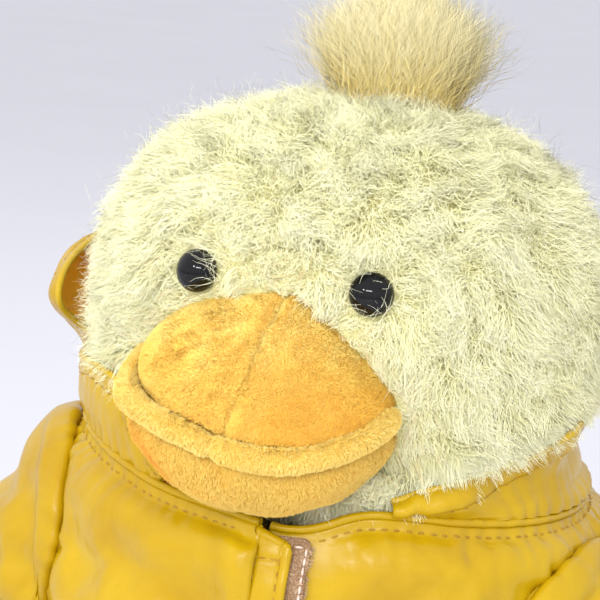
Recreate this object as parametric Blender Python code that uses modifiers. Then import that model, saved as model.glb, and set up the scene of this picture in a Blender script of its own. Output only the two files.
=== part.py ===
"""A seated plush duck in a hooded raincoat: sewn skins, fillings, eyes with posts and washers, and a coat with a hook-and-loop closure. Metres, +Z up, facing -Y."""

import math

import bmesh
import bpy
from mathutils import Matrix, Vector

# ---------------------------------------------------------------- dimensions
GAP = 0.0003  # between neighbouring pieces
SKIN_T = 0.0018  # sewn pile fabric, pressed
CLOTH_T = 0.0009  # coat fabric

HEAD_C = Vector((0.0, 0.0, 0.172))
HEAD_R = (0.060, 0.055)  # half width, half depth
HEAD_UP, HEAD_DOWN = 0.046, 0.045
HEAD_N_UP, HEAD_N_DOWN = 2.4, 3.2

BODY_C = Vector((0.0, 0.0, 0.060))
BODY_R = (0.062, 0.057)
BODY_UP, BODY_DOWN = 0.0615, 0.060
BODY_N_UP, BODY_N_DOWN = 3.0, 4.0
BODY_FLOOR = 0.0022  # the skin's open bottom edge
POUCH_TOP = 0.034

NECK_R = 0.020
NECK_Z = (0.1165, 0.1325)
NECK_PIVOT = Vector((0.0, 0.0, 0.127))

EYE_X, EYE_Z = 0.0205, 0.0125  # from the head's centre
EYE_R, EYE_FLAT = 0.0051, 0.0042
POST_R = 0.0015
WASHER_R, WASHER_T = 0.0060, 0.0012

MOUTH_Z = -0.0140  # from the head's centre
UPPER_C, UPPER_R, UPPER_TOP = Vector((0.0, -0.052, 0.0)), (0.0305, 0.034), 0.0235
LOWER_R, LOWER_DOWN = (0.0315, 0.031), 0.0195
LIP_TUBE = 0.0024

NECKLINE_Z = 0.1310
HEM_Z = 0.0400
# height, half width, half depth of the coat's middle surface
COAT_RINGS = (
    (0.0360, 0.0800, 0.0745),
    (0.0700, 0.0765, 0.0705),
    (0.1000, 0.0730, 0.0670),
    (0.1200, 0.0695, 0.0635),
    (0.1310, 0.0645, 0.0590),
    (0.1440, 0.0625, 0.0575),
)
OPENING_X = 0.0030  # where the upper front ends and the flap is hinged
FLAP_X = (0.0034, 0.0130)
FLAP_Z = (0.0420, 0.1270)
ARMHOLE_C, ARMHOLE_R = (-0.0095, 0.1035), (0.0280, 0.0235)  # along Y and Z

TUFT_BASE = Vector((0.003, 0.010, 0.2180))
TUFT_H = 0.040
TUFT_R = (0.010, 0.021)

WING_C = Vector((0.0925, -0.0035, 0.0755))
WING_D = Vector((0.56, -0.09, -0.824)).normalized()
WING_R = (0.0100, 0.0160, 0.038)
SLEEVE_END_C, SLEEVE_END_R = Vector((0.1035, -0.006, 0.0530)), (0.0165, 0.0205)
SHOULDER = Vector((0.0735, 0.0, 0.1040))

LEG_C, LEG_R = Vector((0.0315, -0.0690, 0.0178)), (0.0148, 0.0225, 0.0155)
HIP = Vector((0.0305, -0.0600, 0.0180))
FOOT_C, FOOT_R = Vector((0.0370, -0.0985, 0.0285)), (0.0235, 0.0268, 0.0075)

TAIL_C, TAIL_R = Vector((0.0, 0.0722, 0.0250)), (0.0150, 0.0170, 0.0085)
TAIL_PIVOT = Vector((0.0, 0.0620, 0.0212))

HOOD_HINGE = Vector((0.0, 0.0380, 0.1330))

FRAME_Y = 0.0106  # from the duck's upright axis to the middle of its bounding box

# ---------------------------------------------------------------- scene
for old in list(bpy.data.objects):
    bpy.data.objects.remove(old, do_unlink=True)
for old in list(bpy.data.collections):
    bpy.data.collections.remove(old)

duck = bpy.data.collections.new("plush_duck")
helpers = bpy.data.collections.new("cutters")
bpy.context.scene.collection.children.link(duck)
bpy.context.scene.collection.children.link(helpers)


def material(name, colour, roughness, metallic=0.0):
    mat = bpy.data.materials.new(name)
    mat.use_nodes = True
    shader = mat.node_tree.nodes["Principled BSDF"]
    shader.inputs["Base Color"].default_value = (*colour, 1.0)
    shader.inputs["Roughness"].default_value = roughness
    shader.inputs["Metallic"].default_value = metallic
    mat.diffuse_color = (*colour, 1.0)
    return mat


COLOURS = {
    "pile": ((0.80, 0.77, 0.47), 0.95),
    "filling": ((0.88, 0.88, 0.86), 1.0),
    "pellets": ((0.72, 0.72, 0.70), 0.8),
    "orange": ((0.93, 0.52, 0.08), 0.9),
    "lip": ((0.93, 0.68, 0.20), 0.9),
    "eye": ((0.008, 0.008, 0.009), 0.08),
    "washer": ((0.80, 0.80, 0.78), 0.45),
    "tuft": ((0.72, 0.58, 0.16), 0.9),
    "coat": ((0.78, 0.56, 0.03), 0.30),
    "coat_in": ((0.62, 0.42, 0.03), 0.55),
    "loop": ((0.62, 0.46, 0.34), 0.95),
    "hook": ((0.60, 0.45, 0.34), 0.7),
    "base": ((0.76, 0.72, 0.45), 0.95),
}


def add(name, mesh, look, origin=None, where=duck):
    """An object of its own, its origin set at the point that it turns about or rests on."""
    if origin is not None:
        mesh.transform(Matrix.Translation(-origin))
    obj = bpy.data.objects.new(name, mesh)
    if origin is not None:
        obj.location = origin
    if where is helpers:
        obj.hide_render = True
        obj.display_type = "WIRE"
    else:
        colour, roughness = COLOURS[look]
        obj.data.materials.append(material(name, colour, roughness))
        obj.data.shade_smooth()
    where.objects.link(obj)
    return obj


def to_mesh(bm, name):
    bmesh.ops.recalc_face_normals(bm, faces=bm.faces)
    mesh = bpy.data.meshes.new(name)
    bm.to_mesh(mesh)
    bm.free()
    return mesh


# ---------------------------------------------------------------- soft forms
def ring_radius(height, up, down, n_up, n_down):
    """Half width (as a share of 1) of a rounded form at this height from its centre."""
    share = height / up if height > 0 else -height / down
    n = n_up if height > 0 else n_down
    return max(0.0, 1.0 - min(1.0, share) ** n) ** (1.0 / n)


def form(radii, up, down, n_up=2.0, n_down=2.0, segments=20, rings=12, shrink=0.0):
    """A closed rounded form about its own centre, from a sphere."""
    bm = bmesh.new()
    bmesh.ops.create_uvsphere(bm, u_segments=segments, v_segments=rings, radius=1.0)
    rx, ry, up, down = radii[0] - shrink, radii[1] - shrink, up - shrink, down - shrink
    for vert in bm.verts:
        height = vert.co.z * (up if vert.co.z > 0 else down)
        flat = math.hypot(vert.co.x, vert.co.y)
        grow = ring_radius(height, up, down, n_up, n_down) / flat if flat > 1e-6 else 0.0
        vert.co = Vector((vert.co.x * grow * rx, vert.co.y * grow * ry, height))
    return bm


def cut(bm, point, normal, cap=True):
    """Removes what lies on the normal's side of the plane and closes the cut."""
    found = bmesh.ops.bisect_plane(
        bm,
        geom=bm.verts[:] + bm.edges[:] + bm.faces[:],
        plane_co=point,
        plane_no=normal,
        clear_outer=True,
    )
    if cap:
        edges = [e for e in found["geom_cut"] if isinstance(e, bmesh.types.BMEdge)]
        bmesh.ops.contextual_create(bm, geom=edges)
        bmesh.ops.triangulate(bm, faces=[f for f in bm.faces if len(f.verts) > 4])


def place(bm, centre, turn=None):
    if turn is not None:
        bmesh.ops.transform(bm, matrix=turn.to_4x4(), verts=bm.verts)
    bmesh.ops.translate(bm, vec=centre, verts=bm.verts)


def thicken(obj, thickness, offset=-1.0, even=True):
    mod = obj.modifiers.new("Thickness", "SOLIDIFY")
    mod.thickness = thickness
    mod.offset = offset
    mod.use_even_offset = even
    mod.use_quality_normals = True
    return obj


def carve(obj, cutter, name="Cut"):
    mod = obj.modifiers.new(name, "BOOLEAN")
    mod.operation = "DIFFERENCE"
    mod.solver = "EXACT"
    mod.object = cutter
    return obj


def keep_inside(obj, cutter):
    mod = obj.modifiers.new("Keep", "BOOLEAN")
    mod.operation = "INTERSECT"
    mod.solver = "EXACT"
    mod.object = cutter
    return obj


def cylinder(name, radius, start, end, segments=20, radius_2=None, where=helpers, look="filling", origin=None):
    start, end = Vector(start), Vector(end)
    bm = bmesh.new()
    bmesh.ops.create_cone(
        bm,
        cap_ends=True,
        cap_tris=False,
        segments=segments,
        radius1=radius,
        radius2=radius if radius_2 is None else radius_2,
        depth=(end - start).length,
    )
    turn = Vector((0, 0, 1)).rotation_difference((end - start).normalized()).to_matrix()
    place(bm, (start + end) / 2, turn)
    return add(name, to_mesh(bm, name), look, origin, where)


# ---------------------------------------------------------------- head
def head_form(shrink, segments=22, rings=12):
    bm = form(HEAD_R, HEAD_UP, HEAD_DOWN, HEAD_N_UP, HEAD_N_DOWN, segments, rings, shrink)
    place(bm, HEAD_C)
    return bm


def body_form(shrink, segments=20, rings=10):
    bm = form(BODY_R, BODY_UP, BODY_DOWN, BODY_N_UP, BODY_N_DOWN, segments, rings, shrink)
    place(bm, BODY_C)
    return bm


# A form a little larger than the skin, to fit the sewn-on pieces against it.
head_fit = add("fit_head", to_mesh(head_form(-GAP), "fit_head"), "", None, helpers)
body_fit = add("fit_body", to_mesh(body_form(-GAP), "fit_body"), "", None, helpers)
neck_hole = cylinder("neck_hole", NECK_R + GAP, (0, 0, 0.1100), (0, 0, NECK_Z[1] + GAP), 24)
neck_hole_low = cylinder("neck_hole_low", NECK_R + GAP, (0, 0, NECK_Z[0] - GAP), (0, 0, 0.1400), 24)


def surface_point(x, z, inset=0.0):
    """The point of the head's front at this width and height from its centre."""
    wide, deep = HEAD_R[0] - inset, HEAD_R[1] - inset
    r = ring_radius(z, HEAD_UP - inset, HEAD_DOWN - inset, HEAD_N_UP, HEAD_N_DOWN)
    y = -deep * math.sqrt(max(0.0, r * r - (x / wide) ** 2))
    return HEAD_C + Vector((x, y, z))


def surface_normal(x, z):
    step = 0.0005
    across = surface_point(x + step, z) - surface_point(x - step, z)
    upward = surface_point(x, z + step) - surface_point(x, z - step)
    return across.cross(upward).normalized()


head_skin_bm = head_form(0.0)
head_skin = add("head_skin", to_mesh(head_skin_bm, "head_skin"), "pile", NECK_PIVOT)
head_hollow = add("head_hollow", to_mesh(head_form(SKIN_T), "head_hollow"), "", None, helpers)
head_fill = add("head_fill", to_mesh(head_form(SKIN_T + GAP), "head_fill"), "filling", NECK_PIVOT)
carve(head_skin, head_hollow, "Hollow")
carve(head_skin, neck_hole, "Neck")
carve(head_fill, neck_hole, "Neck")

for side, sign in (("left", 1.0), ("right", -1.0)):
    spot = surface_point(sign * EYE_X, EYE_Z)
    out = surface_normal(sign * EYE_X, EYE_Z)
    turn = Vector((0, 0, 1)).rotation_difference(out).to_matrix()
    bm = bmesh.new()
    bmesh.ops.create_uvsphere(bm, u_segments=16, v_segments=10, radius=1.0)
    bmesh.ops.scale(bm, vec=(EYE_R, EYE_R, EYE_FLAT), verts=bm.verts)
    cut(bm, (0, 0, -0.0010), (0, 0, -1))
    place(bm, spot + out * 0.0018, turn)
    eye = add("eye_" + side, to_mesh(bm, "eye_" + side), "eye", spot)
    post = cylinder("post_" + side, POST_R, spot - out * 0.0095, spot + out * 0.0030, 10)
    mod = eye.modifiers.new("Post", "BOOLEAN")
    mod.operation = "UNION"
    mod.solver = "EXACT"
    mod.object = post
    carve(head_skin, cylinder("post_hole_" + side, POST_R + GAP, spot - out * 0.006, spot + out * 0.006, 10), "Post " + side)
    seat = spot - out * (SKIN_T + 0.0020)
    washer = cylinder("eye_washer_" + side, WASHER_R, seat - out * WASHER_T, seat, 16, where=duck, look="washer", origin=seat)
    bore = cylinder("washer_bore_" + side, POST_R + 0.0001, seat - out * 0.006, seat + out * 0.006, 10)
    carve(washer, bore, "Bore")
    carve(head_fill, cylinder("washer_pocket_" + side, WASHER_R + 0.0005, seat - out * (WASHER_T + GAP), seat + out * 0.008, 16), "Pocket " + side)
    carve(head_fill, cylinder("post_pocket_" + side, POST_R + GAP, spot - out * 0.0100, spot, 10), "Post " + side)

# ---------------------------------------------------------------- beak
mouth = HEAD_C + Vector((0, 0, MOUTH_Z))


def beak_half(upper, shrink, segments=20, rings=10):
    """Half of a rounded form, cut flat at the mouth."""
    radii = UPPER_R if upper else LOWER_R
    reach = UPPER_TOP if upper else LOWER_DOWN
    bm = form(radii, reach, reach, 2.0, 2.2, segments, rings, shrink)
    side = 1.0 if upper else -1.0
    cut(bm, (0, 0, side * (GAP / 2 + shrink)), (0, 0, -side))
    place(bm, mouth + UPPER_C)
    return bm


beak_back = add("fit_head_inner", to_mesh(head_form(-GAP), "fit_head_inner"), "", None, helpers)
for upper, name, look in ((True, "beak_upper", "orange"), (False, "beak_lower", "lip")):
    skin = add(name + "_skin", to_mesh(beak_half(upper, 0.0), name), look, mouth + UPPER_C)
    hollow = add(name + "_hollow", to_mesh(beak_half(upper, SKIN_T), name + "_hollow"), "", None, helpers)
    carve(skin, hollow, "Hollow")
    carve(skin, head_fit, "Head")
    fill = add(name + "_fill", to_mesh(beak_half(upper, SKIN_T + GAP), name + "_fill"), "filling", mouth + UPPER_C)
    carve(fill, head_fit, "Head")


def tube(name, points, radius, look, resolution=1, closed=False, origin=None):
    """A round tube along the points, turned into a mesh."""
    curve = bpy.data.curves.new(name + "_path", "CURVE")
    curve.dimensions = "3D"
    curve.bevel_depth = radius
    curve.bevel_resolution = resolution
    curve.use_fill_caps = True
    spline = curve.splines.new("POLY")
    spline.points.add(len(points) - 1)
    for knot, point in zip(spline.points, points):
        knot.co = (*point, 1.0)
    spline.use_cyclic_u = closed
    guide = bpy.data.objects.new(name + "_path", curve)
    bpy.context.scene.collection.objects.link(guide)
    bpy.context.view_layer.update()
    made = bpy.data.meshes.new_from_object(guide.evaluated_get(bpy.context.evaluated_depsgraph_get()))
    bm = bmesh.new()
    bm.from_mesh(made)
    bmesh.ops.remove_doubles(bm, verts=bm.verts, dist=1e-6)
    bpy.data.objects.remove(guide, do_unlink=True)
    bpy.data.meshes.remove(made)
    return add(name, to_mesh(bm, name), look, origin)


# The rolled lip follows the edge of the lower beak from one corner of the mouth to the other.
lip_points = []
for i in range(21):
    angle = math.radians(-168 + 156 * i / 20)
    lip_points.append(
        mouth
        + Vector(
            (
                (LOWER_R[0] + LIP_TUBE + GAP) * math.cos(angle),
                UPPER_C.y + (LOWER_R[1] + LIP_TUBE + 0.0012) * math.sin(angle),
                -LIP_TUBE - 0.0004,
            )
        )
    )
beak_lip = tube("beak_lip", lip_points, LIP_TUBE, "lip", 1, origin=mouth + UPPER_C)
carve(beak_lip, head_fit, "Head")
lower_fit = add("fit_lower", to_mesh(beak_half(False, -GAP), "fit_lower"), "", None, helpers)
carve(beak_lip, lower_fit, "Lower")

# ---------------------------------------------------------------- tuft
bm = bmesh.new()
bmesh.ops.create_cone(bm, cap_ends=True, cap_tris=True, segments=16, radius1=TUFT_R[0], radius2=TUFT_R[1], depth=TUFT_H)
bmesh.ops.subdivide_edges(bm, edges=[e for e in bm.edges if abs(e.verts[0].co.z - e.verts[1].co.z) > 0.01], cuts=1)
for vert in bm.verts:
    high = vert.co.z / TUFT_H + 0.5
    vert.co.y *= 0.55
    if high > 0.9:
        vert.co.z += 0.004 * math.cos(min(1.0, math.hypot(vert.co.x, vert.co.y) / TUFT_R[1]) * math.pi / 2) - 0.004
place(bm, TUFT_BASE + Vector((0.001, 0.002, TUFT_H / 2 - 0.0020)), Matrix.Rotation(math.radians(-8), 3, "X"))
tuft = add("tuft", to_mesh(bm, "tuft"), "tuft", TUFT_BASE)
carve(tuft, head_fit, "Head")

# ---------------------------------------------------------------- body
body_skin = add("body_skin", to_mesh(body_form(0.0), "body_skin"), "pile", BODY_C)
body_hollow = add("body_hollow", to_mesh(body_form(SKIN_T), "body_hollow"), "", None, helpers)
carve(body_skin, body_hollow, "Hollow")
carve(body_skin, neck_hole_low, "Neck")
below = cylinder("below_floor", 0.09, (0, 0, -0.02), (0, 0, BODY_FLOOR), 8)
carve(body_skin, below, "Floor")

bm = body_form(SKIN_T + GAP)
cut(bm, (0, 0, POUCH_TOP + GAP / 2), (0, 0, -1))
body_fill = add("body_fill", to_mesh(bm, "body_fill"), "filling", BODY_C)
carve(body_fill, neck_hole_low, "Neck")
bm = body_form(SKIN_T + GAP)
cut(bm, (0, 0, POUCH_TOP - GAP / 2), (0, 0, 1))
cut(bm, (0, 0, BODY_FLOOR + GAP), (0, 0, -1))
add("pellet_pouch", to_mesh(bm, "pellet_pouch"), "pellets", BODY_C)
bm = body_form(0.0, 32, 24)
cut(bm, (0, 0, BODY_FLOOR), (0, 0, 1))
edge = max(vert.co.x for vert in bm.verts)
deep = max(vert.co.y for vert in bm.verts)
bm.free()
bm = bmesh.new()
bmesh.ops.create_cone(bm, cap_ends=True, segments=32, radius1=1.0, radius2=1.0, depth=BODY_FLOOR - GAP)
bmesh.ops.scale(bm, vec=(edge, deep, 1.0), verts=bm.verts)
place(bm, Vector((0, 0, (BODY_FLOOR - GAP) / 2)))
add("base_panel", to_mesh(bm, "base_panel"), "base", Vector((0, 0, 0)))
cylinder("neck_fill", NECK_R, (0, 0, NECK_Z[0]), (0, 0, NECK_Z[1]), 20, where=duck, look="filling", origin=NECK_PIVOT)

# ---------------------------------------------------------------- legs, feet, tail
def stuffed(name, centre, radii, turn, look, origin, cutter, exponent=2.0, segments=12, rings=8, lobes=None, plane=None, mouth_hole=None):
    """A sewn skin with a filling: the filling is the skin's form, a fabric's thickness and a gap smaller. mouth_hole is the opening that it was stuffed through, at the seam: its start, end and radius."""
    made = []
    for suffix, shrink in (("_skin", 0.0), ("_hollow", SKIN_T), ("_fill", SKIN_T + GAP)):
        bm = form(radii[:2], radii[2], radii[2], exponent, exponent, segments, rings, shrink)
        if lobes:
            for vert in bm.verts:
                lobes(vert)
        place(bm, centre, turn)
        if plane is not None:
            push = plane[1].normalized() * (0.0 if suffix == "_skin" else -shrink if suffix == "_fill" else 0.004)
            cut(bm, plane[0] + push, plane[1])
        if suffix == "_hollow":
            made.append(add(name + suffix, to_mesh(bm, name + suffix), "", None, helpers))
        else:
            made.append(add(name + suffix, to_mesh(bm, name + suffix), look if suffix == "_skin" else "filling", origin))
    skin, hollow, fill = made
    carve(skin, hollow, "Hollow")
    if cutter is not None:
        carve(skin, cutter, "Seam")
        carve(fill, cutter, "Seam")
    if mouth_hole is not None:
        carve(skin, cylinder(name + "_mouth", mouth_hole[2], mouth_hole[0], mouth_hole[1], 12), "Mouth")
    return skin, fill


def webbed(vert):
    """Three toes at the top of the foot, with a web between them."""
    angle = math.atan2(vert.co.x, vert.co.y)
    if abs(angle) < math.radians(95):
        grow = 1.0 + 0.10 * math.cos(angle * 4.2)
        vert.co.x *= grow
        vert.co.y *= grow


for side, sign in (("left", 1.0), ("right", -1.0)):
    flip = Vector((sign, 1, 1))
    hip = Vector(HIP * flip)
    leg_turn = Matrix.Rotation(math.radians(8 * sign), 3, "Z") @ Matrix.Rotation(math.radians(90), 3, "X")
    leg_centre = LEG_C * flip
    foot_centre = FOOT_C * flip
    foot_turn = Matrix.Rotation(math.radians(10 * sign), 3, "Z") @ Matrix.Rotation(math.radians(78), 3, "X") @ Matrix.Rotation(math.radians(-9 * sign), 3, "Z")
    foot_fit_bm = form(FOOT_R[:2], FOOT_R[2], FOOT_R[2], 2.6, 2.6, 18, 6, -GAP)
    for vert in foot_fit_bm.verts:
        webbed(vert)
    place(foot_fit_bm, foot_centre, foot_turn)
    foot_fit = add("fit_foot_" + side, to_mesh(foot_fit_bm, "fit_foot"), "", None, helpers)
    rear = leg_turn @ Vector((0, 0, -1))
    seam = (leg_centre + rear * (LEG_R[1] - 0.005), leg_centre + rear * (LEG_R[1] + 0.004), 0.0060)
    skin, fill = stuffed("leg_" + side, leg_centre, (LEG_R[0], LEG_R[2], LEG_R[1]), leg_turn, "pile", hip, body_fit, 2.4, 12, 8, mouth_hole=seam)
    carve(skin, foot_fit, "Foot")
    carve(fill, foot_fit, "Foot")
    stuffed("foot_" + side, foot_centre, FOOT_R, foot_turn, "orange", hip, None, 2.6, 18, 6, webbed)

tail_turn = Matrix.Rotation(math.radians(22), 3, "X")
tail_form_turn = tail_turn @ Matrix.Rotation(math.radians(-90), 3, "X")
root = tail_turn @ Vector((0, -1, 0))
seam = (TAIL_C + root * (TAIL_R[1] - 0.004), TAIL_C + root * (TAIL_R[1] + 0.003), 0.0035)
stuffed("tail", TAIL_C, (TAIL_R[0], TAIL_R[2], TAIL_R[1]), tail_form_turn, "pile", TAIL_PIVOT, body_fit, 2.0, 12, 8, mouth_hole=seam)

# The foot's skin is closed, so a small opening at the leg lets its filling in.
for side, sign in (("left", 1.0), ("right", -1.0)):
    spot = FOOT_C * Vector((sign, 1, 1))
    opening = cylinder("foot_opening_" + side, 0.0070, spot + Vector((-0.002 * sign, 0.0045, -0.010)), spot + Vector((-0.002 * sign, 0.016, -0.010)), 12)
    carve(bpy.data.objects["foot_" + side + "_skin"], opening, "Opening")

# ---------------------------------------------------------------- coat
def coat_radii(z):
    rings = COAT_RINGS
    if z <= rings[0][0]:
        return rings[0][1:]
    for low, high in zip(rings, rings[1:]):
        if z <= high[0]:
            t = (z - low[0]) / (high[0] - low[0])
            return tuple(low[k] + (high[k] - low[k]) * t for k in (1, 2))
    return rings[-1][1:]


def coat_point(angle, z, out=0.0):
    """A point of the coat: angle 0 is the front (-Y), positive towards the duck's left (+X)."""
    rx, ry = coat_radii(z)
    return Vector(((rx + out) * math.sin(angle), -(ry + out) * math.cos(angle), z))


def coat_angle(x, z, out=0.0):
    return math.asin(x / (coat_radii(z)[0] + out))


def sheet(name, columns, rows, point, look, thickness=CLOTH_T, offset=0.0, origin=None):
    """An open grid bent to the point function of (u, v), made a solid of even thickness."""
    bm = bmesh.new()
    bmesh.ops.create_grid(bm, x_segments=columns, y_segments=rows, size=0.5)
    for vert in bm.verts:
        vert.co = point(vert.co.x + 0.5, vert.co.y + 0.5)
    obj = add(name, to_mesh(bm, name), look, origin)
    return thicken(obj, thickness, offset, True)


COAT_LEVELS = (0.0400, 0.0700, 0.1000, 0.1200, 0.1294)


def level(v):
    place_ = v * (len(COAT_LEVELS) - 1)
    low = min(int(place_), len(COAT_LEVELS) - 2)
    return COAT_LEVELS[low] + (COAT_LEVELS[low + 1] - COAT_LEVELS[low]) * (place_ - low)


SEAM = math.radians(96)  # where the side seams run
SEAM_GAP = 0.0022  # radians, about the gap between neighbours


def back_panel(u, v):
    return coat_point(SEAM + SEAM_GAP + u * (2 * math.pi - 2 * SEAM - 2 * SEAM_GAP), level(v))


def left_front(u, v):
    z = level(v)
    start = coat_angle(OPENING_X + 0.0006, z)
    return coat_point(start + u * (SEAM - SEAM_GAP - start), z)


def right_front(u, v):
    z = level(v)
    start = coat_angle(OPENING_X, z)
    return coat_point(-(SEAM - SEAM_GAP) + u * (start + SEAM - SEAM_GAP), z)


coat_back = sheet("coat_back", 14, 4, back_panel, "coat")
coat_left = sheet("coat_front_left", 8, 4, left_front, "coat")
coat_right = sheet("coat_front_right", 8, 4, right_front, "coat")
for sign in (1.0, -1.0):
    hole = cylinder(
        "armhole_left" if sign > 0 else "armhole_right",
        ARMHOLE_R[1],
        (sign * 0.040, 0, ARMHOLE_C[1]),
        (sign * 0.100, 0, ARMHOLE_C[1]),
        20,
    )
    hole.data.transform(Matrix.Translation((0, ARMHOLE_C[0], 0)) @ Matrix.Diagonal((1, ARMHOLE_R[0] / ARMHOLE_R[1], 1, 1)))
    for panel in (coat_back, coat_left, coat_right):
        if panel is coat_back or (panel is coat_left) == (sign > 0):
            carve(panel, hole, "Armhole")


def strip(name, x_range, z_range, out, thickness, look, columns=2, origin=None):
    """A narrow band up the coat's front, with a row at each level where the coat bends."""
    heights = [z_range[0], *(z for z in COAT_LEVELS if z_range[0] < z < z_range[1]), z_range[1]]

    def point(u, v):
        z = heights[min(len(heights) - 1, round(v * (len(heights) - 1)))]
        return coat_point(coat_angle(x_range[0] + u * (x_range[1] - x_range[0]), z), z, out)

    return sheet(name, columns, len(heights) - 1, point, look, thickness, 0.0, origin)


flap_hinge = coat_point(coat_angle(FLAP_X[0], 0.083), 0.083, 0.0037)
strip("loop_strip", (0.0062, 0.0180), (0.0460, 0.1240), 0.0013, 0.0007, "loop")
strip("hook_strip", (0.0046, 0.0118), (0.0460, 0.1240), 0.0025, 0.0007, "hook", origin=flap_hinge)
strip("placket_flap", FLAP_X, FLAP_Z, 0.0037, 0.0008, "coat", 3, flap_hinge)

# Tubes for the neckline piping and the hem, each split at the front opening.
for name, z, out, radius, look in (("neck_piping", NECKLINE_Z, 0.0000, 0.0013, "coat"), ("hem_binding", 0.0383, 0.0, 0.0013, "coat")):
    start = coat_angle(OPENING_X + 0.0004, z)
    end = 2 * math.pi + coat_angle(OPENING_X - 0.0030, z)
    tube(name, [coat_point(start + (end - start) * i / 28, z, out) for i in range(29)], radius, look, 1)


# ---------------------------------------------------------------- sleeves and wings
def sleeve_point(sign):
    end_turn = Vector((0, 0, 1)).rotation_difference(-WING_D)

    def point(u, v):
        angle = 2 * math.pi * u
        y, z = ARMHOLE_C[0] + ARMHOLE_R[0] * math.cos(angle), ARMHOLE_C[1] + ARMHOLE_R[1] * math.sin(angle)
        rx, ry = coat_radii(z)
        start = Vector(((rx + 0.0016) * math.sqrt(1 - (y / (ry + 0.0016)) ** 2), y, z))
        # the wrist ring: its high side is the shoulder side
        across = Vector((0, 1, 0))
        upward = WING_D.cross(across).normalized()
        if upward.x < 0:
            upward.negate()
        end = SLEEVE_END_C + across * SLEEVE_END_R[1] * math.cos(angle) + upward * SLEEVE_END_R[0] * math.sin(angle)
        high = 0.5 + 0.5 * math.sin(angle)
        out = Vector((0.006 + 0.026 * high, 0, -0.024 * (1 - high)))
        along = WING_D * 0.050
        h00, h10 = 2 * v**3 - 3 * v**2 + 1, v**3 - 2 * v**2 + v
        h01, h11 = -2 * v**3 + 3 * v**2, v**3 - v**2
        made = start * h00 + out * h10 + end * h01 + along * h11
        return Vector((sign * made.x, made.y, made.z))

    return point


for side, sign in (("left", 1.0), ("right", -1.0)):
    flip = Vector((sign, 1, 1))
    pivot = SHOULDER * flip
    bm = bmesh.new()
    rows, columns = 4, 16
    point = sleeve_point(sign)
    grid = [[bm.verts.new(point(c / columns, r / rows)) for c in range(columns)] for r in range(rows + 1)]
    for r in range(rows):
        for c in range(columns):
            bm.faces.new((grid[r][c], grid[r][(c + 1) % columns], grid[r + 1][(c + 1) % columns], grid[r + 1][c]))
    sleeve = add("sleeve_" + side, to_mesh(bm, "sleeve_" + side), "coat", pivot)
    thicken(sleeve, CLOTH_T, 0.0, True)
    axis = WING_D * flip
    turn = Matrix.Identity(3)
    # the wing's own axes: thin across, wide along Y, long along the arm
    along = -axis
    thin = Vector((0, 1, 0)).cross(along).normalized()
    wide = along.cross(thin).normalized()
    turn = Matrix((thin, wide, along)).transposed()
    top = WING_C * flip + along * (WING_R[2] * 0.80)
    stuffed("wing_" + side, WING_C * flip, WING_R, turn, "pile", pivot, None, 2.2, 12, 8, None, (top, along))

# ---------------------------------------------------------------- hood
def hood_rim(angle):
    """Height of the hood above the neckline, and how far out its rim stands, by the angle from the front."""
    turn = abs(angle)
    share = min(1.0, turn / math.pi)
    rise = 0.0008 + 0.0600 * (0.5 - 0.5 * math.cos(math.pi * share**1.15))
    # On the duck's right the hood stands higher.
    return rise + (0.0170 * math.exp(-(((turn - 1.83) / 0.52) ** 2)) if angle < 0 else 0.0)


def hood_point(angle, v):
    """v 0 at the neckline, 1 at the rim: out and up, with a pouch at the back."""
    rise = hood_rim(angle)
    z0 = NECKLINE_Z + 0.0020
    back = 0.5 - 0.5 * math.cos(angle)  # 0 front, 1 back
    rx, ry = coat_radii(z0)
    bulge = math.sin(v * math.pi * 0.80) * (0.002 + 0.017 * back)
    lean = v * (0.0010 - 0.0030 * (1 - back) + 0.004 * math.sin(abs(angle)) ** 2 * back)
    out = bulge + lean
    return Vector(((rx + out) * math.sin(angle), -(ry + out) * math.cos(angle), z0 + rise * v))


HOOD_COLUMNS, HOOD_ROWS = 14, 5
HOOD_ENDS = (coat_angle(0.0300, NECKLINE_Z), -coat_angle(0.0260, NECKLINE_Z))


def hood_angle(side, u):
    """Along one half of the hood, from the front corner to the seam at the back."""
    if side == "left":
        return HOOD_ENDS[0] + (math.pi - 0.0026 - HOOD_ENDS[0]) * u
    return HOOD_ENDS[1] - (math.pi - 0.0026 + HOOD_ENDS[1]) * u


for side in ("left", "right"):

    def point(u, v, side=side):
        return hood_point(hood_angle(side, u), v)

    sheet("hood_" + side, HOOD_COLUMNS, HOOD_ROWS, point, "coat_in", CLOTH_T, 0.0, HOOD_HINGE)

rim_points = []
for side, steps in (("left", range(HOOD_COLUMNS + 1)), ("right", range(HOOD_COLUMNS - 1, -1, -1))):
    for i in steps:
        angle = hood_angle(side, i / HOOD_COLUMNS)
        rim, below_rim = hood_point(angle, 1.0), hood_point(angle, 0.95)
        rim_points.append(rim + (rim - below_rim).normalized() * 0.0017)
tube("hood_binding", rim_points, 0.0012, "coat", 1, origin=HOOD_HINGE)

# ---------------------------------------------------------------- frame
# Everything hangs from one empty, which sets the origin below the middle of the bounding box.
frame = bpy.data.objects.new("frame", None)
frame.location = (0.0, FRAME_Y, 0.0)
duck.objects.link(frame)
for obj in [*duck.objects, *helpers.objects]:
    if obj is not frame:
        obj.parent = frame
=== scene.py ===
"""A seated plush duck in a hooded raincoat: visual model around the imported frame. Shapes are worked out in millimetres about the duck's upright axis and placed in metres."""

import math

import bmesh
import bpy
import numpy as np
from mathutils import Matrix, Vector
from mathutils.kdtree import KDTree


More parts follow.
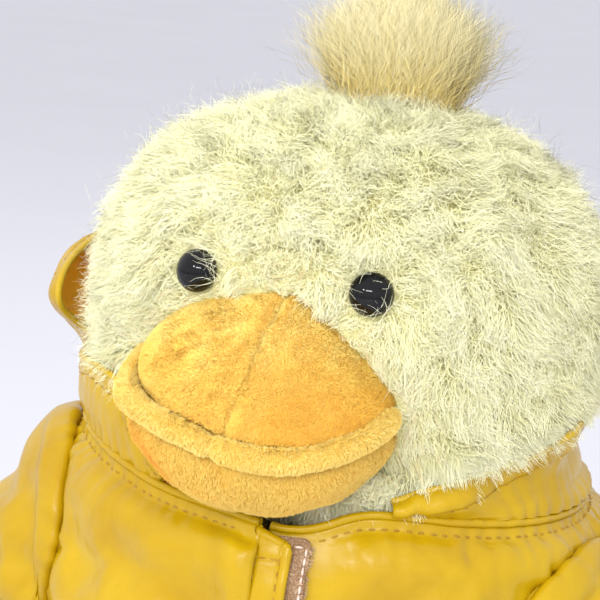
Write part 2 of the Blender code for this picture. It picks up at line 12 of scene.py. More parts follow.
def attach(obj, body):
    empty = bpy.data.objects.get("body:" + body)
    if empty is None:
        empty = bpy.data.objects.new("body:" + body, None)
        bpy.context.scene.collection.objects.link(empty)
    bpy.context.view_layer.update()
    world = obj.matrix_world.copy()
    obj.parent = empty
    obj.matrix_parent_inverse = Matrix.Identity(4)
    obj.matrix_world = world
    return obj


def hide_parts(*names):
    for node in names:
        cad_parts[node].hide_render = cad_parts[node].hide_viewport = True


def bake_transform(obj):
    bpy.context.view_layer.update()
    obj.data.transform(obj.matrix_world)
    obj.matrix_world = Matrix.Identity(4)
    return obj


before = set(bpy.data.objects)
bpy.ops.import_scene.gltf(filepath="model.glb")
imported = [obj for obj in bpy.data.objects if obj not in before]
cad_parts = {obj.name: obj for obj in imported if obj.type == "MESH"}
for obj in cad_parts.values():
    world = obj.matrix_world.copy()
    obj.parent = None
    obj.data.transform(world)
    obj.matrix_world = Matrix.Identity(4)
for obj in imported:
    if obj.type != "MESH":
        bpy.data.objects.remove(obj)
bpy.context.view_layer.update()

FY = 10.6  # the duck's upright axis, in front-to-back millimetres
RNG = np.random.default_rng(71)


def srgb(code):
    """Linear colour of a hex code."""
    value = [int(code[i : i + 2], 16) / 255 for i in (0, 2, 4)]
    return tuple(c / 12.92 if c <= 0.04045 else ((c + 0.055) / 1.055) ** 2.4 for c in value)


# ------------------------------------------------------------------ materials
def principled(name, colour, rough=0.9, sheen=0.0, sheen_tint=None, coat=0.0, specular=0.5, sub=0.0):
    mat = bpy.data.materials.new(name)
    mat.use_nodes = True
    shader = mat.node_tree.nodes["Principled BSDF"]
    shader.inputs["Base Color"].default_value = (*colour, 1.0)
    shader.inputs["Roughness"].default_value = rough
    shader.inputs["Specular IOR Level"].default_value = specular
    if sheen:
        shader.inputs["Sheen Weight"].default_value = sheen
        shader.inputs["Sheen Roughness"].default_value = 0.5
        if sheen_tint:
            shader.inputs["Sheen Tint"].default_value = (*sheen_tint, 1.0)
    if coat:
        shader.inputs["Coat Weight"].default_value = coat
        shader.inputs["Coat Roughness"].default_value = 0.2
    return mat, mat.node_tree, shader


def link(tree, a, b):
    tree.links.new(a, b)


def noise_node(tree, scale, detail=4.0, rough=0.55, stretch=None, distortion=0.0):
    """A noise texture in object millimetres: scale is in features a millimetre."""
    coords = tree.nodes.new("ShaderNodeTexCoord")
    mapping = tree.nodes.new("ShaderNodeMapping")
    mapping.inputs["Scale"].default_value = tuple(1000.0 * s for s in (stretch or (1, 1, 1)))
    link(tree, coords.outputs["Object"], mapping.inputs["Vector"])
    noise = tree.nodes.new("ShaderNodeTexNoise")
    noise.inputs["Scale"].default_value = scale
    noise.inputs["Detail"].default_value = detail
    noise.inputs["Roughness"].default_value = rough
    noise.inputs["Distortion"].default_value = distortion
    link(tree, mapping.outputs["Vector"], noise.inputs["Vector"])
    return noise


def ramp(tree, source, stops):
    node = tree.nodes.new("ShaderNodeValToRGB")
    elements = node.color_ramp.elements
    while len(elements) < len(stops):
        elements.new(0.5)
    for element, (place, colour) in zip(elements, stops):
        element.position = place
        element.color = (*colour, 1.0)
    link(tree, source, node.inputs["Fac"])
    return node


def mix_rgb(tree, a, b, fac, kind="MIX"):
    """A colour mix with its colour sockets, which share their names with the number and vector ones."""
    node = tree.nodes.new("ShaderNodeMix")
    node.data_type = "RGBA"
    node.blend_type = kind
    sockets = {"Factor": node.inputs[0], "A": node.inputs[6], "B": node.inputs[7]}
    for key, value in (("Factor", fac), ("A", a), ("B", b)):
        socket = sockets[key]
        if isinstance(value, bpy.types.NodeSocket):
            link(tree, value, socket)
        elif isinstance(value, (int, float)):
            socket.default_value = value
        else:
            socket.default_value = (*value, 1.0)
    return node.outputs[2]


def attribute(tree, name):
    node = tree.nodes.new("ShaderNodeAttribute")
    node.attribute_name = name
    return node


def bump(tree, shader, height, strength, distance, before=None):
    node = tree.nodes.new("ShaderNodeBump")
    node.inputs["Strength"].default_value = strength
    node.inputs["Distance"].default_value = distance
    link(tree, height, node.inputs["Height"])
    if before is not None:
        link(tree, before.outputs["Normal"], node.inputs["Normal"])
    link(tree, node.outputs["Normal"], shader.inputs["Normal"])
    return node


# ------------------------------------------------------------------ geometry
def place(points):
    """Millimetres about the duck's axis to metres in the row frame."""
    out = np.asarray(points, float) * 0.001
    out[..., 1] += FY * 0.001
    return out


def make_mesh(name, points, faces, body, mats, index=None, smooth=True, normals=None):
    """A mesh object from arrays: faces is an array of quads or triangles, or a list of both."""
    mesh = bpy.data.meshes.new(name)
    points = place(points)
    blocks = faces if isinstance(faces, list) else [faces]
    blocks = [np.asarray(b, np.int32) for b in blocks if len(b)]
    corners = np.concatenate([b.reshape(-1) for b in blocks])
    totals = np.concatenate([np.full(len(b), b.shape[1], np.int32) for b in blocks])
    starts = np.concatenate([[0], np.cumsum(totals)[:-1]]).astype(np.int32)
    mesh.vertices.add(len(points))
    mesh.vertices.foreach_set("co", points.astype(np.float32).reshape(-1))
    mesh.loops.add(len(corners))
    mesh.loops.foreach_set("vertex_index", corners)
    mesh.polygons.add(len(totals))
    mesh.polygons.foreach_set("loop_start", starts)
    mesh.polygons.foreach_set("loop_total", totals)
    if index is not None:
        mesh.polygons.foreach_set("material_index", np.asarray(index, np.int32))
    mesh.polygons.foreach_set("use_smooth", np.full(len(totals), smooth))
    mesh.update(calc_edges=True)
    mesh.validate()
    for mat in mats if isinstance(mats, (list, tuple)) else [mats]:
        mesh.materials.append(mat)
    if normals is not None:
        mesh.normals_split_custom_set_from_vertices(normals.astype(np.float32))
    obj = bpy.data.objects.new(name, mesh)
    bpy.context.scene.collection.objects.link(obj)
    if body is not None:
        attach(obj, body)
    return obj


def grid_faces(rows, columns, wrap=False, flip=False):
    """Quads of a grid of rows by columns points."""
    r, c = np.meshgrid(np.arange(rows - 1), np.arange(columns if wrap else columns - 1), indexing="ij")
    a = r * columns + c
    b = r * columns + (c + 1) % columns
    d = (r + 1) * columns + c
    e = (r + 1) * columns + (c + 1) % columns
    quads = np.stack([a, b, e, d], -1).reshape(-1, 4)
    return quads[:, ::-1] if flip else quads


def paint(obj, name, values):
    """A number for each point, for a material to read."""
    layer = obj.data.attributes.new(name, "FLOAT", "POINT")
    layer.data.foreach_set("value", np.asarray(values, np.float32))


class Waves:
    """Smooth repeatable unevenness: a sum of waves in fixed random directions."""

    def __init__(self, seed, size, count=7, stretch=(1, 1, 1)):
        rng = np.random.default_rng(seed)
        way = rng.normal(size=(count, 3))
        way /= np.linalg.norm(way, axis=1, keepdims=True)
        self.k = way * (2 * np.pi / size) * rng.uniform(0.6, 1.5, (count, 1)) / np.array(stretch)
        self.phase = rng.uniform(0, 2 * np.pi, count)

    def __call__(self, p):
        return np.sin(np.asarray(p) @ self.k.T + self.phase).mean(-1) * 1.6


def unit(v):
    return v / np.maximum(np.linalg.norm(v, axis=-1, keepdims=True), 1e-9)


def grid_normals(P, wrap=True, outward_from=None):
    """Normals of a grid of points, rows along the first axis."""
    du = np.empty_like(P)
    if wrap:
        du[:] = np.roll(P, -1, 1) - np.roll(P, 1, 1)
    else:
        du[:, 1:-1] = P[:, 2:] - P[:, :-2]
        du[:, 0], du[:, -1] = P[:, 1] - P[:, 0], P[:, -1] - P[:, -2]
    dv = np.empty_like(P)
    dv[1:-1] = P[2:] - P[:-2]
    dv[0], dv[-1] = P[1] - P[0], P[-1] - P[-2]
    n = np.cross(du, dv)
    length = np.linalg.norm(n, axis=-1, keepdims=True)
    n = n / np.maximum(length, 1e-9)
    if outward_from is not None:
        sign = np.sign(((P - np.asarray(outward_from)) * n).sum(-1, keepdims=True))
        n = n * np.where(sign == 0, 1, sign)
        flat = length[..., 0] < 1e-6
        n[flat] = unit(P - np.asarray(outward_from))[flat]
    return n


def scatter(P, N, count, rng, wrap=True, keep=None):
    """Random places over a grid of points, even by area: (points, normals)."""
    A = P if not wrap else np.concatenate([P, P[:, :1]], 1)
    B = N if not wrap else np.concatenate([N, N[:, :1]], 1)
    a, b, c, d = A[:-1, :-1], A[:-1, 1:], A[1:, 1:], A[1:, :-1]
    area = 0.5 * (np.linalg.norm(np.cross(b - a, c - a), axis=-1) + np.linalg.norm(np.cross(c - a, d - a), axis=-1))
    if keep is not None:
        area = area * keep((a + b + c + d) / 4)
    total = area.sum()
    number = int(count * total) if count < 50 else int(count)
    which = rng.choice(area.size, number, p=(area / total).reshape(-1))
    r, k = np.unravel_index(which, area.shape)
    u, v = rng.uniform(size=(number, 1)), rng.uniform(size=(number, 1))

    def at(M):
        return (M[r, k] * (1 - u) + M[r, k + 1] * u) * (1 - v) + (M[r + 1, k] * (1 - u) + M[r + 1, k + 1] * u) * v

    return at(A), unit(at(B))


# ------------------------------------------------------------------ pile
def strands(root, normal, length, comb, knots=5, curl=0.8, turns=1.0, spread=0.35, clump=None, clump_pull=0.6, width=0.22, rng=RNG, droop=0.0, soft=0.72, facing=None):
    """Pile as tapering ribbons. comb is how each fibre leans, as a vector along the skin. Returns points, faces, share along the fibre for each face and each fibre's number."""
    n = len(root)
    s = np.linspace(0, 1, knots)

    def curves(root, normal, length, comb, phase, curl, turns):
        side = unit(np.cross(normal, np.where(np.abs(normal[:, 2:3]) < 0.9, [[0, 0, 1.0]], [[1.0, 0, 0]])))
        other = np.cross(normal, side)
        steps = []
        for t in s[1:] - 0.5 / (knots - 1):
            swing = curl * min(1.0, 0.35 + t * 1.2)
            angle = phase + 2 * np.pi * turns * t
            way = normal * (1.0 - 0.25 * t) + comb * (0.45 + 1.1 * t)
            way = way + (np.cos(angle)[:, None] * side + np.sin(angle)[:, None] * other) * swing[:, None]
            way[:, 2] -= droop * t
            steps.append(unit(way) * (length / (knots - 1))[:, None])
        return root[:, None] + np.concatenate([np.zeros((len(root), 1, 3)), np.cumsum(np.stack(steps, 1), 1)], 1)

    jitter = rng.normal(size=(n, 3)) * spread
    jitter -= (jitter * normal).sum(-1, keepdims=True) * normal
    phase = rng.uniform(0, 2 * np.pi, n)
    curl_each = curl * rng.uniform(0.6, 1.4, n)
    turn_each = turns * rng.uniform(0.7, 1.3, n)
    P = curves(root, normal, length, comb + jitter, phase, curl_each, turn_each)
    if clump is not None:
        guides, which = clump
        g = len(guides)
        pick = guides
        gj = rng.normal(size=(g, 3)) * spread * 1.5
        gj -= (gj * normal[pick]).sum(-1, keepdims=True) * normal[pick]
        G = curves(root[pick], normal[pick], length[pick] * rng.uniform(0.85, 1.2, g), comb[pick] + gj, rng.uniform(0, 2 * np.pi, g), curl * rng.uniform(0.8, 1.5, g), turns * rng.uniform(0.7, 1.3, g))
        own = P - root[:, None]
        lead = G[which] - root[pick][which][:, None]
        offset = (root[pick][which] - root)[:, None]
        pull = (clump_pull * s**1.2)[None, :, None]
        P = root[:, None] + own * (1 - pull) + (lead + offset * 0.75) * pull
    way = unit(np.gradient(P, axis=1))
    facing = normal if facing is None else facing
    flat = unit(facing[:, None] - (facing[:, None] * way).sum(-1, keepdims=True) * way)
    across = np.cross(way, flat)
    twist = rng.uniform(-0.9, 0.9, (n, 1, 1)) + rng.uniform(-0.6, 0.6, (n, 1, 1)) * s[None, :, None]
    across = across * np.cos(twist) + flat * np.sin(twist)
    taper = np.array([1.0] * knots) * (1.0 - 0.75 * s**1.6)
    half = 0.5 * width * rng.uniform(0.7, 1.3, (n, 1, 1)) * taper[None, :, None]
    left, right = P - across * half, P + across * half
    V = np.stack([left, right], 2).reshape(n, knots * 2, 3)
    face_n = np.cross(across, way)
    lift = np.sign((face_n * facing[:, None]).sum(-1, keepdims=True))
    shade = unit((1 - soft) * face_n * np.where(lift == 0, 1, lift) + soft * facing[:, None] + 0.18 * way)
    VN = np.repeat(shade[:, :, None], 2, 2).reshape(-1, 3)
    base = (np.arange(n) * knots * 2)[:, None]
    rows = np.arange(knots - 1) * 2
    quad = np.stack([rows, rows + 1, rows + 3, rows + 2], -1)[None] + base[:, :, None]
    flip = (np.cross(P[:, 1] - P[:, 0], across[:, 0]) * facing).sum(-1) > 0
    quad[flip] = quad[flip][:, :, ::-1]
    share = np.tile((s[:-1] + s[1:]) / 2, n)
    number = np.repeat(np.arange(n), knots - 1)
    return V.reshape(-1, 3), quad.reshape(-1, 4), share, number, VN


def nearest(points, seeds):
    tree = KDTree(len(seeds))
    for i, p in enumerate(seeds):
        tree.insert(p, i)
    tree.balance()
    return np.array([tree.find(p)[1] for p in points])


def fur(name, body, root, normal, length, comb, mats, tone, per_clump=25, most=24000, slot="pile", **kw):
    """Pile in pieces of at most `most` fibres. tone(share, number) gives the slot of each face."""
    rng = kw.get("rng", RNG)
    n = len(root)
    guides = rng.choice(n, max(4, n // per_clump), replace=False)
    which = nearest(root, root[guides])
    V, F, share, number, VN = strands(root, normal, length, comb, clump=(guides, which), **kw)
    knots = kw.get("knots", 5)
    index = tone(share, number, root)
    made = []
    pieces = max(1, math.ceil(n / most))
    # Neighbouring fibres stay in one piece: cut the head like an orange, by the angle round the middle.
    middle = root.mean(0)
    order = np.argsort(np.arctan2(root[:, 0] - middle[0], root[:, 1] - middle[1]))
    for k, group in enumerate(np.array_split(order, pieces)):
        vert_of = (group[:, None] * knots * 2 + np.arange(knots * 2)).reshape(-1)
        face_of = (group[:, None] * (knots - 1) + np.arange(knots - 1)).reshape(-1)
        remap = np.full(len(V), -1)
        remap[vert_of] = np.arange(len(vert_of))
        obj = make_mesh(f"{name}_{k + 1}" if pieces > 1 else name, V[vert_of], remap[F[face_of]], body, mats, index[face_of], normals=VN[vert_of])
        made.append(obj)
    return made


# ------------------------------------------------------------------ forms
def ring_radius(h, up, down, n_up, n_down):
    share = np.where(h > 0, h / up, -h / down)
    n = np.where(h > 0, n_up, n_down)
    return np.maximum(0.0, 1.0 - np.minimum(1.0, share) ** n) ** (1.0 / n)


def soft_form(radii, up, down, n_up=2.0, n_down=2.0, rows=60, columns=120, grow=0.0, lobes=None, turn=None, centre=(0, 0, 0), low=-1.0, high=1.0):
    """A rounded form as a grid that closes on itself; column 0 faces -Y. low and high cut it at a share of its height."""
    t = np.linspace(math.asin(low), math.asin(high), rows)
    h = np.sin(t)
    height = np.where(h > 0, h * (up + grow), h * (down + grow))
    r = ring_radius(height, up + grow, down + grow, n_up, n_down)
    a = np.arange(columns) * 2 * np.pi / columns
    P = np.empty((rows, columns, 3))
    P[..., 0] = r[:, None] * (radii[0] + grow) * np.sin(a)
    P[..., 1] = -r[:, None] * (radii[1] + grow) * np.cos(a)
    P[..., 2] = height[:, None]
    if lobes is not None:
        P = lobes(P)
    if turn is not None:
        P = P @ np.array(turn).T
    return P + np.asarray(centre, float)


def rot(axis, degrees):
    return np.array(Matrix.Rotation(math.radians(degrees), 3, axis))


def resample(P, rows, columns, wrap=False):
    """The grid at another number of rows and columns, through a smooth curve each way."""

    def along(A, count, wrap):
        n = A.shape[0]
        x = np.arange(count) * n / count if wrap else np.linspace(0, n - 1, count)
        i = np.minimum(x.astype(int), n - 1 if wrap else n - 2)
        t = (x - i).reshape((-1,) + (1,) * (A.ndim - 1))
        if wrap:
            p0, p1, p2, p3 = A[(i - 1) % n], A[i], A[(i + 1) % n], A[(i + 2) % n]
        else:
            B = np.concatenate([[2 * A[0] - A[1]], A, [2 * A[-1] - A[-2]]])
            p0, p1, p2, p3 = B[i], B[i + 1], B[i + 2], B[np.minimum(i + 3, n + 1)]
        return 0.5 * (2 * p1 + (p2 - p0) * t + (2 * p0 - 5 * p1 + 4 * p2 - p3) * t**2 + (3 * p1 - p0 - 3 * p2 + p3) * t**3)

    return along(along(P, rows, False).swapaxes(0, 1), columns, wrap).swapaxes(0, 1)


def relax(P0, N0, hold, grow, steps=260, wrap=False, span=(-2.5, 4.0), seed=1, size=22.0, start=0.5, stiff=0.35):
    """Cloth cut a little larger than its place and let go: its lengths are kept and bending is resisted, so it buckles into folds. hold says how firmly each point is held where it lies, from 0 to 1; grow is the spare length, (down the rows, along the columns)."""
    wave = Waves(seed, size, 9)
    P = P0 + N0 * (wave(P0) * start)[..., None] * (1 - hold)[..., None]

    def pairs(dr, dc, give, k):
        if wrap:
            a = lambda A: A[: A.shape[0] - dr] if dr else A
            b = lambda A: np.roll(A[dr:], -dc, 1)
        elif dc >= 0:
            a = lambda A: A[: A.shape[0] - dr, : A.shape[1] - dc]
            b = lambda A: A[dr:, dc:]
        else:
            a = lambda A: A[: A.shape[0] - dr, -dc:]
            b = lambda A: A[dr:, : A.shape[1] + dc]
        rest = np.linalg.norm(a(P0) - b(P0), axis=-1) * (1 + give)
        return dr, dc, rest, k

    gr, gc = grow
    both = (gr + gc) / 2
    sets = [pairs(1, 0, gr, 1.0), pairs(0, 1, gc, 1.0), pairs(1, 1, both, 0.6), pairs(1, -1, both, 0.6), pairs(2, 0, gr, stiff), pairs(0, 2, gc, stiff), pairs(4, 0, gr, stiff * 0.5), pairs(0, 4, gc, stiff * 0.5)]
    free = (1 - hold)[..., None]
    R, C = P0.shape[:2]
    cols = np.arange(C)
    for _ in range(steps):
        D = np.zeros_like(P)
        W = np.full((R, C, 1), 1e-6)
        for dr, dc, rest, k in sets:
            if wrap:
                ra, ca, rb, cb = slice(0, R - dr), cols, slice(dr, R), (cols + dc) % C
                A, B = P[ra], P[rb][:, cb]
            elif dc >= 0:
                A, B = P[: R - dr, : C - dc], P[dr:, dc:]
            else:
                A, B = P[: R - dr, -dc:], P[dr:, : C + dc]
            d = B - A
            length = np.linalg.norm(d, axis=-1)
            push = d * ((length - rest) / np.maximum(length, 1e-6) * 0.5 * k)[..., None]
            if wrap:
                D[ra] += push
                W[ra] += k
                E = np.zeros_like(P[rb])
                E[:, cb] = push
                D[rb] -= E
                W[rb] += k
            elif dc >= 0:
                D[: R - dr, : C - dc] += push
                W[: R - dr, : C - dc] += k
                D[dr:, dc:] -= push
                W[dr:, dc:] += k
            else:
                D[: R - dr, -dc:] += push
                W[: R - dr, -dc:] += k
                D[dr:, : C + dc] -= push
                W[dr:, : C + dc] += k
        P = P + 1.6 * D / W * free
        P = P + (P0 - P) * (hold * 0.25 + 0.0008)[..., None]
        off = ((P - P0) * N0).sum(-1)
        over = np.clip(off, span[0], span[1]) - off
        P = P + N0 * over[..., None]
    return P


class Cloth:
    """A sheet as a grid of points, so that what is sewn on it can be placed by row and column."""

    def __init__(self, P, wrap=False, outward=None):
        self.P, self.wrap = P, wrap
        self.N = grid_normals(P, wrap)
        if outward is not None:
            self.N *= np.sign((self.N * outward).sum())
        self.R, self.C = P.shape[:2]

    def push(self, amount):
        self.P = self.P + self.N * np.asarray(amount)[..., None]
        sign = np.sign((grid_normals(self.P, self.wrap) * self.N).sum())
        self.N = grid_normals(self.P, self.wrap) * sign

    def sample(self, A, r, c):
        r = np.clip(np.asarray(r, float), 0, self.R - 1.0001)
        c = np.asarray(c, float) % self.C if self.wrap else np.clip(np.asarray(c, float), 0, self.C - 1.0001)
        i, j = r.astype(int), c.astype(int)
        u, v = (r - i)[..., None], (c - j)[..., None]
        j2 = (j + 1) % self.C if self.wrap else j + 1
        return (A[i, j] * (1 - v) + A[i, j2] * v) * (1 - u) + (A[i + 1, j] * (1 - v) + A[i + 1, j2] * v) * u

    def at(self, r, c, out=0.0):
        return self.sample(self.P, r, c) + unit(self.sample(self.N, r, c)) * np.asarray(out)[..., None] if np.ndim(out) else self.sample(self.P, r, c) + unit(self.sample(self.N, r, c)) * out

    def normal(self, r, c):
        return unit(self.sample(self.N, r, c))

    def shell(self, name, body, mats, thick=0.9, columns=None, keep=None, slot=None):
        """The closed double surface of the sheet, or of the columns given, without the quads that keep leaves out. Slot 0 is the face side, 1 the back, 2 the edge."""
        lo, hi = columns or (0, self.C if self.wrap else self.C - 1)
        count = hi - lo + (0 if self.wrap and columns is None else 1)
        wrap = self.wrap and columns is None
        cols = np.arange(lo, lo + count) % self.C
        P, N = self.P[:, cols], self.N[:, cols]
        F = grid_faces(self.R, count, wrap)
        if keep is not None:
            centre = P.reshape(-1, 3)[F].mean(1)
            F = F[keep(centre)]
        # turn the quads so that they face the way of N
        flat = P.reshape(-1, 3)
        way = np.cross(flat[F[:, 1]] - flat[F[:, 0]], flat[F[:, 3]] - flat[F[:, 0]])
        if (way * N.reshape(-1, 3)[F[:, 0]]).sum() < 0:
            F = F[:, ::-1]
        n = len(flat)
        front, back = P + N * thick / 2, P - N * thick / 2
        V = np.concatenate([front.reshape(-1, 3), back.reshape(-1, 3)])
        # edges used once are the rim
        E = np.concatenate([F[:, [0, 1]], F[:, [1, 2]], F[:, [2, 3]], F[:, [3, 0]]])
        key = np.sort(E, 1)
        _, first, uses = np.unique(key[:, 0].astype(np.int64) * n + key[:, 1], return_index=True, return_counts=True)
        rim = E[first[uses == 1]]
        side = np.stack([rim[:, 1], rim[:, 0], rim[:, 0] + n, rim[:, 1] + n], 1)
        faces = np.concatenate([F, F[:, ::-1] + n, side])
        index = np.concatenate([np.zeros(len(F)), np.ones(len(F)), np.full(len(side), 2)]).astype(int)
        used = np.unique(faces)
        remap = np.full(2 * n, -1)
        remap[used] = np.arange(len(used))
        obj = make_mesh(name, V[used], remap[faces], body, mats, index)
        return obj


def tube(name, body, mats, path, normal, radius, sides=10, closed=False, flat=1.0, taper=0):
    """A round cord along the path, its section turned by the normals given."""
    path, normal = np.asarray(path, float), np.asarray(normal, float)
    way = unit(np.roll(path, -1, 0) - np.roll(path, 1, 0)) if closed else unit(np.gradient(path, axis=0))
    normal = unit(normal - (normal * way).sum(-1, keepdims=True) * way)
    across = np.cross(way, normal)
    a = np.arange(sides) * 2 * np.pi / sides
    radius = np.broadcast_to(np.asarray(radius, float), (len(path),)).copy()
    V = path[:, None] + radius[:, None, None] * (np.cos(a)[None, :, None] * normal[:, None] * flat + np.sin(a)[None, :, None] * across[:, None])
    n = len(path)
    blocks = []
    rows = n if not closed else n + 1
    r, c = np.meshgrid(np.arange(rows - 1), np.arange(sides), indexing="ij")
    quads = np.stack([(r % n) * sides + c, (r % n) * sides + (c + 1) % sides, ((r + 1) % n) * sides + (c + 1) % sides, ((r + 1) % n) * sides + c], -1).reshape(-1, 4)
    V = V.reshape(-1, 3)
    blocks.append(quads[:, ::-1])
    if not closed:
        V = np.concatenate([V, path[:1] - way[:1] * radius[0] * 0.5, path[-1:] + way[-1:] * radius[-1] * 0.5])
        c = np.arange(sides)
        blocks.append(np.stack([np.full(sides, n * sides), c, (c + 1) % sides], 1)[:, ::-1])
        last = (n - 1) * sides
        blocks.append(np.stack([np.full(sides, n * sides + 1), last + (c + 1) % sides, last + c], 1)[:, ::-1])
    obj = make_mesh(name, V, blocks, body, mats)
    return obj


def walk(path, pitch):
    """Places a pitch apart along a line of points: (whole and part index of each)."""
    steps = np.linalg.norm(np.diff(path, axis=0), axis=1)
    far = np.concatenate([[0], np.cumsum(steps)])
    count = max(2, int(far[-1] / pitch))
    return np.interp((np.arange(count) + 0.5) * far[-1] / count, far, np.arange(len(path)))


def stitches(name, body, mat, runs, pitch=3.0, length=2.2, radius=0.24, sink=0.12):
    """Rows of thread stitches. Each run is (points, normals) along its line."""
    sides, rings = 6, 5
    a = np.arange(sides) * 2 * np.pi / sides
    x = np.linspace(-1, 1, rings)
    fat = np.sqrt(np.maximum(0, 1 - np.abs(x) ** 3))
    fat[[0, -1]] = 0.35
    allV, allF, base = [], [], 0
    F1 = grid_faces(rings, sides, wrap=True)
    for path, normal in runs:
        where = walk(path, pitch)
        i = np.minimum(where.astype(int), len(path) - 2)
        t = (where - i)[:, None]
        p = path[i] * (1 - t) + path[i + 1] * t
        n = unit(normal[i] * (1 - t) + normal[i + 1] * t)
        way = unit(path[np.minimum(i + 1, len(path) - 1)] - path[i])
        way = unit(way + RNG.normal(size=way.shape) * 0.04)
        across = unit(np.cross(n, way))
        lift = np.cos(x * np.pi / 2) * 0.22 - sink
        c = p[:, None] + way[:, None] * (x * length / 2)[None, :, None] + n[:, None] * lift[None, :, None]
        ring = np.cos(a)[None, None, :, None] * n[:, None, None] + np.sin(a)[None, None, :, None] * across[:, None, None]
        V = c[:, :, None] + ring * (fat * radius)[None, :, None, None]
        allV.append(V.reshape(-1, 3))
        off = (np.arange(len(p)) * rings * sides)[:, None, None]
        allF.append((F1[None] + off).reshape(-1, 4)[:, ::-1] + base)
        caps = np.arange(sides)
        base += len(p) * rings * sides
    obj = make_mesh(name, np.concatenate(allV), np.concatenate(allF), body, mat)
    return obj


# ------------------------------------------------------------------ colours and materials
def hide_material(name, deep, light, scale=0.35):
    """The backing that the pile stands on: short underfur, its colour deeper in random patches as painted shade between
    the fibres.
    """
    mat, tree, shader = principled(name, light, 1.0, sheen=0.25, sheen_tint=light, specular=0.1)
    noise = noise_node(tree, scale, 6.0, 0.65)
    # deeper and lighter patches by noise: painted shade between the fibres
    tint = ramp(tree, noise.outputs["Fac"], ((0.30, deep), (0.70, light)))
    link(tree, tint.outputs["Color"], shader.inputs["Base Color"])
    fine = noise_node(tree, scale * 5, 3.0, 0.6)
    bump(tree, shader, fine.outputs["Fac"], 0.8, 0.0012)
    return mat


def plain(name, code, rough=0.85, sheen=0.15):
    colour = srgb(code)
    mat, tree, shader = principled(name, colour, rough, sheen=sheen, sheen_tint=colour, specular=0.15)
    # Both faces of a fibre's ribbon keep the one normal that the fibre was given.
    geometry = tree.nodes.new("ShaderNodeNewGeometry")
    sign = tree.nodes.new("ShaderNodeMath")
    sign.operation = "MULTIPLY_ADD"
    sign.inputs[1].default_value = -2.0
    sign.inputs[2].default_value = 1.0
    link(tree, geometry.outputs["Backfacing"], sign.inputs[0])
    turned = tree.nodes.new("ShaderNodeVectorMath")
    turned.operation = "SCALE"
    link(tree, geometry.outputs["Normal"], turned.inputs[0])
    link(tree, sign.outputs["Value"], turned.inputs["Scale"])
    link(tree, turned.outputs["Vector"], shader.inputs["Normal"])
    return mat


def coated(name, deep, light, rough, back=False):
    """Coated rain fabric: smooth, a little cloudy, with a faint grain."""
    mat, tree, shader = principled(name, light, rough, specular=0.25, coat=0.0 if back else 0.15)
    if back:
        shader.inputs["Subsurface Weight"].default_value = 0.55
        shader.inputs["Subsurface Radius"].default_value = (1.0, 0.6, 0.15)
        shader.inputs["Subsurface Scale"].default_value = 0.0022
    cloud = noise_node(tree, 0.035, 4.0, 0.6, distortion=0.6)
    tint = ramp(tree, cloud.outputs["Fac"], ((0.25, deep), (0.75, light)))
    link(tree, tint.outputs["Color"], shader.inputs["Base Color"])
    rough_noise = noise_node(tree, 0.12, 4.0, 0.6)
    spread = tree.nodes.new("ShaderNodeMapRange")
    spread.inputs["To Min"].default_value = rough - 0.06
    spread.inputs["To Max"].default_value = rough + 0.08
    link(tree, rough_noise.outputs["Fac"], spread.inputs["Value"])
    link(tree, spread.outputs["Result"], shader.inputs["Roughness"])
    crease = noise_node(tree, 0.16, 3.0, 0.5, distortion=0.8)
    first = bump(tree, shader, crease.outputs["Fac"], 0.22, 0.0016)
    grain = noise_node(tree, 2.6, 2.0, 0.5)
    bump(tree, shader, grain.outputs["Fac"], 0.07, 0.0003, first)
    return mat


PILE = [plain(f"pile_{i}", code) for i, code in enumerate(("F3EA94", "F5EEA4", "F7F2B2", "F9F6C2", "FCFAD6", "FCE4AC"))]
HIDE = hide_material("pile_backing", srgb("F2EAA0"), srgb("F8F2B4"))
TUFT = [plain(f"tuft_{i}", code) for i, code in enumerate(("E4C060", "E9CF7C", "EDDA94", "F0E2AA", "F3EABE"))]
ORANGE = [plain(f"orange_{i}", code) for i, code in enumerate(("FAB640", "FDC856", "FFD466", "FFE080"))]
ORANGE_HIDE = hide_material("orange_backing", srgb("F8BC52"), srgb("FCC864"), 0.5)
LIP = [plain(f"lip_{i}", code) for i, code in enumerate(("F2BE4C", "F6C95C", "FAD36C", "FEDF82"))]
LIP_HIDE = hide_material("lip_backing", srgb("EEBC50"), srgb("F4C860"), 0.5)
BAG = [plain(f"bag_{i}", code) for i, code in enumerate(("F4A644", "F0B44C", "EEC058", "F4CC68", "FAD87C"))]
COAT = coated("coat_face", srgb("A88304"), srgb("C09E0C"), 0.30)
# The cloth's back is a much lighter yellow than its face: painted light, standing in for light through the cloth in the
# shaded hollow of the hood.
COAT_BACK = coated("coat_back_painted_light", srgb("FBC436"), srgb("FFD24E"), 0.6, back=True)
COAT_EDGE = coated("coat_edge", srgb("B89618"), srgb("C6A62A"), 0.45)
THREAD, _tree, _shader = principled("thread", srgb("A67C12"), 0.6, sheen=0.1)
_fibre = noise_node(_tree, 1.5, 2.0, 0.5)
link(_tree, ramp(_tree, _fibre.outputs["Fac"], ((0.3, srgb("8E6A0C")), (0.7, srgb("B88C1C")))).outputs["Color"], _shader.inputs["Base Color"])
PALE_THREAD, _tree, _shader = principled("pale_thread", srgb("E2C9BA"), 0.7, sheen=0.1)
_fibre = noise_node(_tree, 1.5, 2.0, 0.5)
link(_tree, ramp(_tree, _fibre.outputs["Fac"], ((0.3, srgb("D2B4A2")), (0.7, srgb("EAD6CA")))).outputs["Color"], _shader.inputs["Base Color"])
LOOP_HIDE = hide_material("loop_backing", srgb("A68260"), srgb("BA9670"), 0.7)
LOOP = [plain(f"loop_{i}", code) for i, code in enumerate(("AC8660", "BC9672", "D0B294"))]
HOOK, _tree, _shader = principled("hook_tape", srgb("C8A58E"), 0.5)
_weave = noise_node(_tree, 1.1, 2.0, 0.5, stretch=(1, 1, 0.4))
link(_tree, ramp(_tree, _weave.outputs["Fac"], ((0.35, srgb("B28E76")), (0.65, srgb("D6B7A3")))).outputs["Color"], _shader.inputs["Base Color"])
